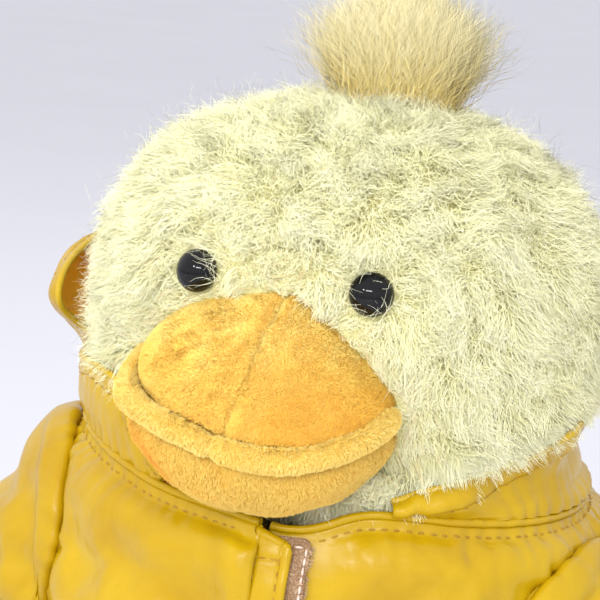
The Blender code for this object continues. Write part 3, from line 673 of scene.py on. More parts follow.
bump(_tree, _shader, _weave.outputs["Fac"], 0.7, 0.0004)

BEAD, _tree, _shader = principled("eye_bead", srgb("0A0A0B"), 0.06, specular=0.32)
_speck = noise_node(_tree, 0.6, 2.0, 0.5)
link(_tree, ramp(_tree, _speck.outputs["Fac"], ((0.3, srgb("070708")), (0.7, srgb("0E0E10")))).outputs["Color"], _shader.inputs["Base Color"])


def inner(name, deep, light, scale, rough=0.95, strength=0.6):
    mat, tree, shader = principled(name, light, rough, sheen=0.1 if rough > 0.7 else 0.0)
    noise = noise_node(tree, scale, 5.0, 0.6, distortion=0.5)
    link(tree, ramp(tree, noise.outputs["Fac"], ((0.3, deep), (0.7, light))).outputs["Color"], shader.inputs["Base Color"])
    bump(tree, shader, noise.outputs["Fac"], strength, 0.001)
    return mat


FILLING = inner("filling_fibre", srgb("DCDCDA"), srgb("F6F6F4"), 0.35)
POUCH = inner("pouch_cloth", srgb("CFCFCD"), srgb("E6E6E3"), 0.9)
WASHER = inner("washer_nylon", srgb("DAD9D2"), srgb("EDECE6"), 0.25, 0.4, 0.15)
BASE = inner("base_cloth", srgb("CFCA8C"), srgb("E2DFA6"), 0.6)
CAD_LOOK = {"filling": FILLING, "pellets": POUCH, "washer": WASHER, "base": BASE}
for node, look in [
    *((n, "filling") for n in ("head_fill", "body_fill", "neck_fill", "beak_upper_fill", "beak_lower_fill", "wing_left_fill", "wing_right_fill", "leg_left_fill", "leg_right_fill", "foot_left_fill", "foot_right_fill", "tail_fill")),
    ("pellet_pouch", "pellets"),
    ("eye_washer_left", "washer"),
    ("eye_washer_right", "washer"),
    ("base_panel", "base"),
]:
    obj = bpy.data.objects[node]
    obj.data.materials.clear()
    obj.data.materials.append(CAD_LOOK[look])

# ------------------------------------------------------------------ head
HEAD_C = np.array([0, 0, 172.0])
EYES = {}


def head_surface(x, z, grow=0.0):
    """The head's front at this width and height from its centre, and the way it faces."""

    def at(x, z):
        r = float(ring_radius(np.array([z]), 46.0 + grow, 45.0 + grow, 2.4, 3.2)[0])
        return HEAD_C + np.array([x, -(55 + grow) * math.sqrt(max(0.0, r * r - (x / (60 + grow)) ** 2)), z])

    n = np.cross(at(x + 0.5, z) - at(x - 0.5, z), at(x, z + 0.5) - at(x, z - 0.5))
    return at(x, z), n / np.linalg.norm(n)


for side, sign in (("left", 1), ("right", -1)):
    spot, out = head_surface(sign * 20.5, 12.5)
    EYES[side] = (spot, out)

HEAD_P = soft_form((60, 55), 46, 45, 2.4, 3.2, 90, 180, -0.7, centre=HEAD_C)
HEAD_N = grid_normals(HEAD_P, True, HEAD_C)
_wave = Waves(5, 24, 8)
HEAD_P = HEAD_P + HEAD_N * (_wave(HEAD_P) * 0.35)[..., None]

BEAK_C = np.array([0, -52, 158.0])


BEAK_UP, BEAK_POWER, BAG_DOWN, BAG_POWER = 25.7, 1.33, 24.4, 1.967
# The mouth's line round the beak: its height by the angle from the front. It hangs lower on the duck's left.
_MOUTH = np.array(((-180, 158.5), (-110, 159.0), (-90, 158.7), (-60, 158.5), (-40, 158.6), (-30, 158.3), (-20, 157.6), (-10, 156.6), (0, 155.2), (10, 154.5), (20, 154.2), (30, 153.9), (40, 153.8), (50, 154.6), (60, 156.0), (70, 157.2), (80, 158.2), (100, 158.7), (180, 158.5)), float)
_LIP = np.array(((-100, 164.6), (-97, 163.7), (-90, 161.5), (-80, 159.5), (-70, 158.0), (-60, 157.5), (-50, 157.7), (-40, 157.5), (-30, 157.0), (-20, 156.3), (-10, 155.3), (0, 153.9), (10, 152.8), (20, 152.1), (30, 151.8), (40, 152.2), (50, 153.2), (60, 154.3), (70, 155.6), (80, 156.9), (88, 158.0), (96, 159.6)), float)


def mouth_z(a):
    deg = np.degrees((np.asarray(a, float) + np.pi) % (2 * np.pi) - np.pi)
    return sum(np.interp(deg + d, _MOUTH[:, 0], _MOUTH[:, 1], period=360) for d in (-4, 0, 4)) / 3


def dome_lean(s, share):
    """The dome is fuller on the duck's right and falls away on its left."""
    return 1 - 0.17 * np.maximum(s, 0) * share + 1.06 * np.maximum(-s, 0) * share


def beak_gap(p):
    """How far a point is outside the beak, in millimetres, about."""
    h = p[..., 2] - BEAK_C[2]
    share = np.clip(h / BEAK_UP, 0, 1)
    dx, dy = p[..., 0] + 0.7 - 0.102 * h, p[..., 1] + 52 - 0.055 * h
    lean = dome_lean(dx / np.maximum(np.hypot(dx, dy), 1e-6), share)
    high = (np.hypot(dx / (29.07 * lean), dy / 30.6) - (1 - share**BEAK_POWER) ** (1 / BEAK_POWER)) * 27
    high = np.maximum(high, h - BEAK_UP)
    share = np.clip(-h / BAG_DOWN, 0, 1)
    low = (np.hypot((p[..., 0] + 2.5 + 0.057 * h) / 32.07, (p[..., 1] + 52.7 - 0.106 * h) / 32.3) - (1 - share**BAG_POWER) ** (1 / BAG_POWER)) * 29
    low = np.maximum(low, -h - BAG_DOWN)
    return np.where(h > 0, high, low)


def eye_gap(p):
    return np.minimum(*(np.linalg.norm(p - (spot + out * 0.5), axis=-1) for spot, out in EYES.values()))


def smooth_step(x, a, b):
    t = np.clip((x - a) / (b - a), 0, 1)
    return t * t * (3 - 2 * t)


obj = make_mesh("head_hide", HEAD_P.reshape(-1, 3), [grid_faces(90, 180, True)], "head", HIDE)
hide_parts("head_skin")

FIELD = [Waves(seed, 17, 6) for seed in (11, 12, 13)]
FINE = [Waves(seed, 7, 6) for seed in (14, 15, 16)]


def swirl(p, n, amount, fine=0.4):
    v = np.stack([f(p) for f in FIELD], -1) + fine * np.stack([f(p) for f in FINE], -1)
    v = v - (v * n).sum(-1, keepdims=True) * n
    return v * amount


def tangent(v, n):
    return unit(v - (v * n).sum(-1, keepdims=True) * n)


# The height of the hood's rim by the angle from the front.
HOOD_RIM = np.array(((-180, 195), (-122, 190), (-112, 182), (-104, 172), (-98, 161), (-93, 154.5), (-88, 152.3), (-80, 152), (-70, 152.5), (-60, 154.6), (-50, 154), (-40, 152), (-34, 147.7), (-28, 143.3), (-24, 138.8), (0, 131), (27, 135), (33, 139.5), (36.5, 142.5), (44.7, 147.5), (54, 151.5), (62, 154), (71, 156.5), (80, 158), (88, 157.5), (96, 156), (106, 156), (116, 159), (126, 165), (180, 195)), float)


HOOD_EDGE = np.array(((-112, 180), (-104, 170), (-98, 161), (-93, 155.5), (-88, 153), (-80, 152.5), (24, 133.5), (27, 135), (36.5, 140.9), (44.7, 143.6), (54, 146.4), (62, 148.8), (71, 151.6), (80, 153.4), (88, 153)), float)


def lit_from(normal, ahead, up):
    """The pile's own normal, leaning a little to the front and up, as soft pile passes light on from clump to clump."""
    front = smooth_step(-normal[:, 1:2], -0.5, 0.3)
    return unit(normal + front * [0, -ahead, 0] + [0, 0, up])


def head_pile():
    rng = np.random.default_rng(101)
    keep = lambda p: (((p[..., 2] > 136) | ((p[..., 2] > 129.5) & (p[..., 1] < -25) & (np.abs(p[..., 0] - 10) < 34))) & (beak_gap(p) > 0.3) & (eye_gap(p) > 5.0)).astype(float)
    root, normal = scatter(HEAD_P, HEAD_N, 128000, rng, keep=keep)
    gap_b, gap_e = beak_gap(root), eye_gap(root)
    deg = np.degrees(np.arctan2(root[:, 0], -root[:, 1]))
    length = 11.5 * rng.uniform(0.72, 1.22, len(root))
    length *= 0.40 + 0.60 * smooth_step(gap_b, 0.5, 13)
    length *= 0.40 + 0.60 * smooth_step(gap_e, 5.0, 13)
    # It hangs over the coat at the front and is pressed down under the hood at the sides.
    low = 1 - smooth_step(root[:, 2], 146, 158)
    front = smooth_step(deg, -98, -86) * (1 - smooth_step(deg, 52, 66))
    pressed = 1 - smooth_step(deg, -116, -102) + smooth_step(deg, 100, 116)
    over_rim = root[:, 2] - np.interp(deg, HOOD_RIM[:, 0], HOOD_RIM[:, 1])
    beside = smooth_step(deg, 24, 34) * (1 - smooth_step(deg, 100, 116)) + (1 - smooth_step(deg, -34, -26)) * smooth_step(deg, -116, -102)
    under = beside * (1 - smooth_step(over_rim, -1.5, 1.5))
    hang = beside * smooth_step(over_rim, -0.5, 2.5) * (1 - smooth_step(over_rim, 6, 12))
    length *= 1 + low * (0.20 * front * (1 - beside) - 0.62 * pressed - 0.02)
    length *= (1 - 0.86 * under) * (1 - 0.04 * hang)
    down = tangent(np.array([0, 0, -1.0]) + 0.0 * root, normal)
    crown = tangent(root - np.array([3, 10, 214.0]), normal)
    high = smooth_step(root[:, 2], 196, 216)[:, None]
    comb = down * 0.5 * (1 - high) + crown * 0.55 * high + swirl(root, normal, 0.75)
    comb += unit(root * [1, 1, 0]) * (0.5 * low * front * smooth_step(root[:, 2], 134, 144) * (1 - beside))[:, None]
    comb += unit(root * [1, 1, 0]) * (0.45 * hang)[:, None] + down * (0.25 * hang + 1.2 * under)[:, None]
    away = tangent(root - BEAK_C, normal)
    comb += away * (0.9 * np.exp(-np.maximum(gap_b, 0) / 6))[:, None]
    for spot, out in EYES.values():
        d = np.linalg.norm(root - spot, axis=-1)
        comb += tangent(root - spot, normal) * (0.9 * np.exp(-np.maximum(d - 5, 0) / 4))[:, None]

    def tone(share, number, root):
        each = np.random.default_rng(5).normal(size=len(root)) * 0.35
        patch = Waves(77, 9, 6)(root) * 0.22
        warm = np.random.default_rng(6).uniform(size=len(root)) < 0.30 * np.exp(-np.maximum(beak_gap(root), 0) / 5)
        # Each fibre is a deeper yellow at its root and paler towards its tip: painted shade deep in the pile.
        index = np.clip(np.floor(share * 2.2 + 2.05 + (each + patch)[number]), 0, 4).astype(int)
        return np.where(warm[number] & (index > 0), 5, index)

    made = fur("head_pile", "head", root, normal, length, comb, PILE, tone, per_clump=42, most=16000, knots=7, curl=0.95, turns=1.3, spread=0.42, clump_pull=0.46, width=0.165, rng=rng, droop=0.12, soft=0.94, facing=lit_from(normal, 0.45, 0.45))
    # Longer, paler single fibres stand off the pile.
    pick = rng.choice(len(root), 6500, replace=False)
    pick = pick[(gap_b[pick] > 6) & (under[pick] < 0.2) & (hang[pick] < 0.6)]
    # The stray fibres are paler towards the tip too: painted shade at their roots.
    stray = fur("head_stray", "head", root[pick], normal[pick], length[pick] * rng.uniform(1.15, 1.5, len(pick)), comb[pick] * 0.6, PILE[2:5], lambda share, number, r: np.clip(np.floor(share * 3), 0, 2).astype(int), per_clump=3, knots=9, curl=0.9, turns=1.2, spread=0.7, clump_pull=0.1, width=0.105, rng=rng, soft=0.85)
    # Under the chin it hangs forward over the neckline.
    keep = lambda p: ((p[..., 2] > 129.6) & (p[..., 2] < 142) & (p[..., 1] < -24) & (p[..., 0] > -15) & (p[..., 0] < 29) & (beak_gap(p) > 0.3)).astype(float)
    root, normal = scatter(HEAD_P, HEAD_N, 9000, rng, keep=keep)
    ahead = unit(np.array([0.04, -1.0, 0.10]) + root * [0.004, 0, 0])
    length = rng.uniform(13.5, 17.5, len(root)) + 3.0 * smooth_step(root[:, 0], 4, 12) * (1 - smooth_step(root[:, 0], 16, 28))
    facing = unit(ahead * [1, 1, 0] + [0, 0, 0.5])
    chin = fur("chin_pile", "head", root, ahead, length, swirl(root, ahead, 0.5), PILE, tone, per_clump=34, most=16000, knots=7, curl=0.7, turns=1.1, spread=0.30, clump_pull=0.5, width=0.165, rng=rng, droop=0.16, soft=0.88, facing=facing)
    # A fringe falls over the hood's edge on either side.
    spans = ((34, 84, 4700), (-104, -84, 1100))
    roots, ways, lengths = [], [], []
    for lo, hi, count in spans:
        at = rng.uniform(lo, hi, count)
        rim = np.interp(at, HOOD_EDGE[:, 0], HOOD_EDGE[:, 1])
        high = rim + rng.uniform(-0.5, 7.0, count)
        r = ring_radius(high - 172.0, 46.0, 45.0, 2.4, 3.2) / np.sqrt((np.sin(np.radians(at)) / 60) ** 2 + (np.cos(np.radians(at)) / 55) ** 2)
        start = np.stack([(r - 0.7) * np.sin(np.radians(at)), -(r - 0.7) * np.cos(np.radians(at)), high], -1)
        shift = np.radians(at + rng.normal(size=count) * 2)
        edge = np.interp(np.degrees(shift), HOOD_EDGE[:, 0], HOOD_EDGE[:, 1])
        end = np.stack([67.3 * np.sin(shift), -62.0 * np.cos(shift), edge - rng.uniform(-1.5, 3.2, count)], -1)
        far = np.linalg.norm(end - start, axis=-1)
        keep_it = beak_gap(start) > 1.0
        roots.append(start[keep_it])
        ways.append(unit(end - start + far[:, None] * [0, 0, 0.34])[keep_it])
        lengths.append((far * rng.uniform(0.85, 1.12, count))[keep_it])
    root, way, length = np.concatenate(roots), np.concatenate(ways), np.concatenate(lengths)
    facing = unit(unit(root * [1, 1, 0]) + [0, 0, 0.35])
    fringe = fur("rim_fringe", "head", root, way, length, swirl(root, way, 0.25), PILE, tone, per_clump=30, most=16000, knots=8, curl=0.45, turns=1.1, spread=0.16, clump_pull=0.6, width=0.165, rng=rng, droop=0.62, soft=0.88, facing=facing)
    return made + stray + chin + fringe


HEAD_FUR = head_pile()


# ------------------------------------------------------------------ eyes
def bead(side):
    spot, out = EYES[side]
    rows, columns = 40, 56
    t = np.linspace(math.radians(-22), math.pi / 2, rows)
    a = np.arange(columns) * 2 * np.pi / columns
    r, h = np.cos(t) * 5.1, np.sin(t) * 4.2
    # a fine flat rim at the bottom, then the post
    profile = [(1.5, -11.0), (1.5, -2.2), (4.3, -2.0), *zip(r, h)]
    profile = np.array(profile)
    P = np.stack([profile[:, :1] * np.cos(a), profile[:, :1] * np.sin(a), np.repeat(profile[:, 1:], columns, 1)], -1)
    turn = np.array(Vector((0, 0, 1)).rotation_difference(Vector(out)).to_matrix())
    P = P @ turn.T + spot + out * 1.8
    cap = len(P) * columns
    V = np.concatenate([P.reshape(-1, 3), [P[0].mean(0)]])
    c = np.arange(columns)
    foot = np.stack([np.full(columns, cap), (c + 1) % columns, c], 1)
    obj = make_mesh("eye_bead_" + side, V, [grid_faces(len(P), columns, True), foot], "head", BEAD)
    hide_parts("eye_" + side)
    return obj


for side in ("left", "right"):
    bead(side)


def lashes():
    """Fine pale fibres that lie across the eyes and arc under them."""
    rng = np.random.default_rng(31)
    roots, normals, lengths, combs = [], [], [], []
    for spot, out in EYES.values():
        up = unit(np.array([0, 0, 1.0]) - out[2] * out)
        across = np.cross(up, out)
        for _ in range(74):
            a = rng.uniform(0, 2 * np.pi)
            r = rng.uniform(5.6, 8.5)
            p = spot + (across * math.cos(a) + up * math.sin(a)) * r - out * (0.2 + (r - 5) * 0.15)
            toward = -(across * math.cos(a) + up * math.sin(a))
            side_way = across * -math.sin(a) + up * math.cos(a)
            roots.append(p)
            normals.append(unit(out * 1.0 + toward * 0.02))
            combs.append(toward * rng.uniform(-0.2, 0.95) + side_way * rng.normal() * 0.6)
            lengths.append(rng.uniform(6.5, 12.5))
    # Fibres are one shade deeper on their root half: painted shade, as in the pile.
    return fur("eye_fringe", "head", np.array(roots), np.array(normals), np.array(lengths), np.array(combs), PILE[3:5], lambda s, n, r: (s > 0.5).astype(int), per_clump=4, knots=7, curl=0.35, turns=0.8, spread=0.15, clump_pull=0.1, width=0.10, rng=rng)


lashes()

# ------------------------------------------------------------------ beak
def nap(name, body, P, N, count, length, comb, mats, rng, keep=None, width=0.16, wrap=True, slot="orange", bias=0.0, knots=3, tint=None):
    """Short plush pile over a grid."""
    root, normal = scatter(P, N, count, rng, wrap=wrap, keep=keep)
    way = comb(root, normal) if callable(comb) else tangent(np.asarray(comb) + 0 * root, normal) * 0.5
    each = rng.normal(size=len(root)) * 0.5
    patch = Waves(int(rng.integers(1000)), 10, 6)
    top = len(mats) - 1
    tint = tint or (lambda p: 0.0 * p[..., 0])

    def tone(share, number, r):
        # Deeper at the root and paler towards the tip: painted shade deep in the nap.
        value = share * top * 0.6 + 1.3 + bias + (each * 0.4)[number] + (patch(r) * 0.25 + tint(r))[number]
        return np.clip(np.floor(value), 0, top).astype(int)

    return fur(name, body, root, normal, length * rng.uniform(0.75, 1.2, len(root)), way, mats, tone, per_clump=12, most=40000, knots=knots, curl=0.3, turns=0.6, spread=0.35, clump_pull=0.35, width=width, rng=rng, slot=slot, soft=0.92, facing=lit_from(normal, 0.55, 0.45))


def beak_filling(P, middle):
    """The same form 1.6 mm further in."""
    d = P - middle
    far = np.linalg.norm(d, axis=-1, keepdims=True)
    return middle + d * np.maximum(0.2, (far - 1.6) / np.maximum(far, 1e-3))


def stuffing(name, V, faces, node):
    obj = make_mesh(name, V, faces, "head", FILLING)
    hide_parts(node)


def upper_beak():
    rng = np.random.default_rng(41)
    rows, columns = 60, 150
    rim = Waves(42, 15, 8)
    pucker = Waves(43, 5.5, 8)
    h = np.sin(np.linspace(0.004, math.pi / 2, rows))[:, None] * (BEAK_UP - 0.4)
    share = h / (BEAK_UP - 0.4)
    r = np.maximum(0, 1 - share**BEAK_POWER) ** (1 / BEAK_POWER)
    a = (np.arange(columns) * 2 * np.pi / columns)[None]
    P = np.empty((rows, columns, 3))
    P[..., 0] = -0.7 + 0.102 * h + 28.7 * r * np.sin(a) * dome_lean(np.sin(a), share)
    P[..., 1] = -52 + 0.055 * h - 30.2 * r * np.cos(a)
    P[..., 2] = BEAK_C[2] + h + 0.012 * P[..., 0] + (mouth_z(a) - BEAK_C[2] + 0.4) * (1 - share) ** 1.5
    N = grid_normals(P, True, BEAK_C)
    x = P[..., 0] + 0.7 - 0.102 * h
    height = share + 0 * a
    # the two halves meet in a seam at the middle, drawn in, with small puckers along it
    groove = -0.95 * np.exp(-((x / 0.8) ** 2)) + 0.40 * np.exp(-(((np.abs(x) - 2.2) / 1.5) ** 2))
    dent = rim(P) * 0.4 + pucker(P) * 0.18 * np.exp(-np.abs(x) / 5)
    tuck = -0.4 * np.exp(-((height / 0.07) ** 2)) + pucker(P) * 0.3 * np.exp(-((height / 0.16) ** 2))
    P = P + N * (groove + dent + tuck)[..., None]
    N = grid_normals(P, True, BEAK_C)
    # the floor of the beak closes it at the mouth
    floor = P[0].mean(0) + np.array([0, 0, 0.0])
    V = np.concatenate([P.reshape(-1, 3), [floor]])
    c = np.arange(columns)
    cap = np.stack([np.full(columns, rows * columns), (c + 1) % columns, c], 1)
    Q = beak_filling(P, floor + [0, 0, 8])
    stuffing("beak_upper_stuffing", np.concatenate([Q.reshape(-1, 3), [Q[0].mean(0)]]), [grid_faces(rows, columns, True), cap], "beak_upper_fill")
    obj = make_mesh("beak_upper_hide", V, [grid_faces(rows, columns, True), cap], "head", ORANGE_HIDE)
    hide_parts("beak_upper_skin")

    head_q = lambda p: (p[..., 0] / 60) ** 2 + (p[..., 1] / 55) ** 2 + ((p[..., 2] - 172) / 46) ** 2 > 0.97

    def comb(root, normal):
        return tangent(np.array([0, -0.5, -1.0]) + 0 * root, normal) * 0.45 + swirl(root, normal, 0.35, 1.0)

    # painted shade and light: a little deeper in colour low on the duck's left and towards the mouth, paler over the
    # top of the dome
    tint = lambda p: -1.3 * smooth_step(p[..., 0], -4, 16) * (1 - smooth_step(p[..., 2], 158, 172)) + 0.5 * smooth_step(p[..., 2], 164, 176)
    nap("beak_upper_nap", "head", P, N, 68000, 0.75, comb, ORANGE, rng, keep=lambda p: head_q(p).astype(float), width=0.14, tint=tint)


LIP_A = np.radians(np.linspace(-98, 90, 170))


def lip_path():
    deg = np.degrees(LIP_A)
    z = sum(np.interp(deg + d, _LIP[:, 0], _LIP[:, 1]) for d in (-4, 0, 4)) / 3
    return np.stack([-2.3 + 30.8 * np.sin(LIP_A), -52 - 33.2 * np.cos(LIP_A), z], -1)


def lower_beak():
    rng = np.random.default_rng(51)
    rows, columns = 50, 140
    h = np.sin(np.linspace(math.pi / 2, 0.004, rows))[:, None] * (BAG_DOWN - 0.5)
    height = h / (BAG_DOWN - 0.5)
    r = np.maximum(0, 1 - height**BAG_POWER) ** (1 / BAG_POWER) * (1 - 0.075 * np.exp(-((h / 4.5) ** 2)))
    a = (np.arange(columns) * 2 * np.pi / columns)[None]
    P = np.empty((rows, columns, 3))
    P[..., 0] = -2.5 + 0.057 * h + 31.6 * r * np.sin(a)
    P[..., 1] = -52.7 - 0.106 * h - 31.8 * r * np.cos(a)
    P[..., 2] = 157.0 - h + (mouth_z(a) - 157.9) * (1 - height) ** 1.5
    N = grid_normals(P, True, BEAK_C - [0, 0, 6])
    x = P[..., 0] + 2.5 - 0.057 * h
    folds = np.sin(a * 9 + 0.8 * np.sin(a * 3)) * 0.5 * np.exp(-(((height - 0.35) / 0.35) ** 2))
    groove = -0.7 * np.exp(-((x / 0.9) ** 2))
    P = P + N * (folds + groove + Waves(52, 12, 8)(P) * 0.4)[..., None]
    N = grid_normals(P, True, BEAK_C - [0, 0, 6])
    V = np.concatenate([P.reshape(-1, 3), [P[-1].mean(0)]])
    c = np.arange(columns)
    last = (rows - 1) * columns
    cap = np.stack([np.full(columns, rows * columns), last + c, last + (c + 1) % columns], 1)
    Q = beak_filling(P, P[-1].mean(0) - [0, 0, 8])
    stuffing("beak_lower_stuffing", np.concatenate([Q.reshape(-1, 3), [Q[-1].mean(0)]]), [grid_faces(rows, columns, True), cap], "beak_lower_fill")
    obj = make_mesh("beak_lower_hide", V, [grid_faces(rows, columns, True), cap], "head", LIP_HIDE)
    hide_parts("beak_lower_skin")
    outside = lambda p: (((p[..., 0] / 60) ** 2 + (p[..., 1] / 55) ** 2 + ((p[..., 2] - 172) / 45) ** 2 > 0.97)).astype(float)
    comb = lambda root, normal: tangent(np.array([0, 0, -1.0]) + 0 * root, normal) * 0.6 + swirl(root, normal, 0.3, 1.0)
    # an orange patch low on the duck's right
    tint = lambda p: 0.2 - 2.6 * np.exp(-(((p - np.array([-21, -72, 145.0])) ** 2).sum(-1) / 60)) - 1.2 * np.exp(-(((p - np.array([-27, -64, 150.0])) ** 2).sum(-1) / 40))
    nap("beak_lower_nap", "head", P, N, 38000, 1.0, comb, BAG, rng, keep=outside, width=0.15, slot="lip", tint=tint)

    # the rolled lip: a stuffed cord of the same plush, nipped at the middle seam
    path = lip_path()
    knots, sides = len(path), 28
    a, deg = np.linspace(-1, 1, knots), np.degrees(LIP_A)
    fat = (2.5 + 0.75 * smooth_step(-deg, 40, 72)) * (1 - 0.26 * np.exp(-((deg / 2.4) ** 2))) * (1 + 0.05 * Waves(55, 9, 6)(path)) * np.minimum(1, 0.45 + (1 - np.abs(a)) * 9)
    way = unit(np.gradient(path, axis=0))
    up = np.array([0, 0, 1.0])
    side_way = unit(np.cross(way, up))
    t = np.arange(sides) * 2 * np.pi / sides
    tuckers = 1 + 0.035 * np.sin(np.arange(knots) * 0.9)[:, None] * (np.sin(t) < 0)[None]
    P = path[:, None] + (fat[:, None] * tuckers)[..., None] * (np.cos(t)[None, :, None] * side_way[:, None] + np.sin(t)[None, :, None] * up)
    N = unit(P - path[:, None])
    V = np.concatenate([P.reshape(-1, 3), path[:1], path[-1:]])
    c = np.arange(sides)
    base = knots * sides
    caps = [np.stack([np.full(sides, base), (c + 1) % sides, c], 1), np.stack([np.full(sides, base + 1), base - sides + c, base - sides + (c + 1) % sides], 1)]
    obj = make_mesh("beak_lip_hide", V, [grid_faces(knots, sides, True), np.concatenate(caps)], "head", LIP_HIDE)
    bm = bmesh.new()
    bm.from_mesh(obj.data)
    bmesh.ops.recalc_face_normals(bm, faces=bm.faces)
    bm.to_mesh(obj.data)
    bm.free()
    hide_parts("beak_lip")
    clear = lambda p: (((((p[..., 0] + 2.5) / 29.0) ** 2 + ((p[..., 1] + 52.7) / 29.2) ** 2) > 1.0) & ((p[..., 0] / 60) ** 2 + (p[..., 1] / 55) ** 2 + ((p[..., 2] - 172) / 45) ** 2 > 0.97)).astype(float)
    comb = lambda root, normal: tangent(np.array([0, 0, -1.0]) + 0 * root, normal) * 0.8 + swirl(root, normal, 0.25, 1.0)
    nap("beak_lip_nap", "head", P, N, 27000, 0.85, comb, LIP, rng, keep=clear, width=0.14, slot="lip", bias=0.3)


upper_beak()
lower_beak()


# ------------------------------------------------------------------ tuft
def tuft():
    rng = np.random.default_rng(61)
    count = 24000
    a, r = rng.uniform(0, 2 * np.pi, count), np.sqrt(rng.uniform(0, 1, count))
    lean = rot("X", -8)
    root = np.stack([r * 10.5 * np.cos(a), r * 7.0 * np.sin(a), -1.5 - 2.6 * r**2], -1) @ lean.T + np.array([5.2, 11, 218.0])
    out = np.stack([np.cos(a) * r * 0.27, np.sin(a) * r * 0.24, np.ones(count)], -1) @ lean.T
    normal = unit(out + rng.normal(size=(count, 3)) * 0.12)
    wave = [Waves(s, 16, 6) for s in (62, 63, 64)]
    comb = np.stack([w(root) for w in wave], -1) * 0.20 + np.stack([np.cos(a) * r * 0.10, np.sin(a) * r * 0.10, 0 * a], -1)
    length = rng.uniform(27, 49, count) * (1 - 0.14 * r)
    each = rng.normal(size=count) * 0.5

    def tone(share, number, p):
        e = each[: len(p)] if len(p) <= count else 0
        # Deeper ochre at the root, paler towards the tips: partly the tuft's own ochre, partly painted shade in its
        # crowded base.
        return np.clip(np.floor(share * 3.6 + 0.6 + e[number]), 0, 4).astype(int)

    facing = unit(np.stack([np.cos(a) * (0.25 + r * 0.6), np.sin(a) * (0.35 + r * 0.6), 0.55 + 0 * a], -1))
    made = fur("tuft_strands", None, root, normal, length, comb, TUFT, tone, facing=facing, per_clump=16, most=8000, knots=9, curl=0.72, turns=2.4, spread=0.21, clump_pull=0.22, width=0.11, rng=rng, slot="tuft", soft=0.88)
    core = soft_form((8.5, 5), 12, 3, 2.0, 2.0, 24, 48, 0.0, turn=lean, centre=(3.6, 10.6, 218.5))
    obj = make_mesh("tuft_root", core.reshape(-1, 3), [grid_faces(24, 48, True)], None, hide_material("tuft_backing", srgb("ECD68A"), srgb("F3E2A2")))
    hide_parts("tuft")
    for o in [*made, obj]:
        place([3, 10, 217.0]).tolist()
        place([3, 12, 232.0]).tolist()
        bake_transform(o)


tuft()

# ------------------------------------------------------------------ coat
_RINGS = np.array(((36, 80, 74.5), (70, 76.5, 70.5), (100, 73, 67), (120, 69.5, 63.5), (131, 64.5, 59), (144, 62.5, 57.5)), float)


def coat_radii(z):
    """Half width and half depth of the coat at a height, with the bends between its rings rounded off."""
    z = np.asarray(z, float)
    rx = sum(np.interp(z + d, _RINGS[:, 0], _RINGS[:, 1]) for d in (-3, -1, 1, 3)) / 4
    ry = sum(np.interp(z + d, _RINGS[:, 0], _RINGS[:, 2]) for d in (-3, -1, 1, 3)) / 4
    return rx, ry


HEM, TOP = 40.0, 129.4
# The coat's upper edge by the angle from the front: it sags at the closure and rides up over the duck's right shoulder.
_EDGE = np.array(((-180, 131.2), (-140, 132.0), (-115, 134.2), (-90, 136.2), (-67, 136.6), (-51, 135.6), (-37, 134.2), (-28, 132.8), (-15, 131.6), (-5, 131.0), (0, 130.2), (3, 129.4), (8, 129.0), (13, 130.2), (16, 131.6), (21, 134.0), (29, 134.2), (40, 132.8), (53, 131.4), (69, 130.3), (84, 129.6), (110, 129.6), (140, 130.4), (180, 131.2)), float)


def edge_z(a):
    deg = np.degrees((np.asarray(a, float) + np.pi) % (2 * np.pi) - np.pi)
    return sum(np.interp(deg + d, _EDGE[:, 0], _EDGE[:, 1], period=360) for d in (-2.5, 0, 2.5)) / 3


def dip(a):
    """How far the coat's upper edge lies below its nominal height."""
    return TOP - edge_z(a)


def around(a, z, out=0.0):
    rx, ry = coat_radii(z)
    a, z, out = np.broadcast_arrays(a, z, out)
    return np.stack([(rx + out) * np.sin(a), -(ry + out) * np.cos(a), z], -1)


SEAM = math.radians(96)
# The armholes in the side view: front-to-back, height and radii. The duck's right shoulder is drawn up.
HOLES = {1: (-12.5, 102.0, 29.5, 20.0), -1: (-11.0, 106.0, 28.0, 26.3)}


def hole_view(p):
    """Where a point lies from its side's armhole's middle, and that hole's radii."""
    left = p[..., 0] > 0
    hy, hz, ry, rz = (np.where(left, HOLES[1][i], HOLES[-1][i]) for i in range(4))
    return p[..., 1] - hy, p[..., 2] - hz, ry, rz


def hole_gap(p):
    """Distance outside the nearer armhole's edge, in the side view; large away from the sides."""
    y, z, ry, rz = hole_view(p)
    far = np.hypot(y, z) * (1 - 1 / np.maximum(np.hypot(y / ry, z / rz), 1e-3))
    return np.where(np.abs(p[..., 0]) > 30, far, 99.0)


def bell(x, middle, width):
    return np.exp(-(((x - middle) / width) ** 2))


def shoulder(deg, z):
    """The coat stands out over the duck's right shoulder and is drawn in at its left."""
    return 3.2 * bell(deg, -88, 27) * bell(z, 129, 14) - 2.4 * bell(deg, 96, 34) * bell(z, 133, 11)


def coat_grid(rows, columns):
    v, u = np.meshgrid(np.linspace(0, 1, rows), np.linspace(0, 1, columns), indexing="ij")
    z = HEM + (TOP - HEM) * v
    rx, _ = coat_radii(z)
    a0, a1 = np.arcsin(3.6 / rx), 2 * np.pi + np.arcsin(2.9 / rx)
    a = a0 + (a1 - a0) * u
    z = z - dip(a) * smooth_step(z, 92, TOP)
    P = around(a, z)
    return P, a


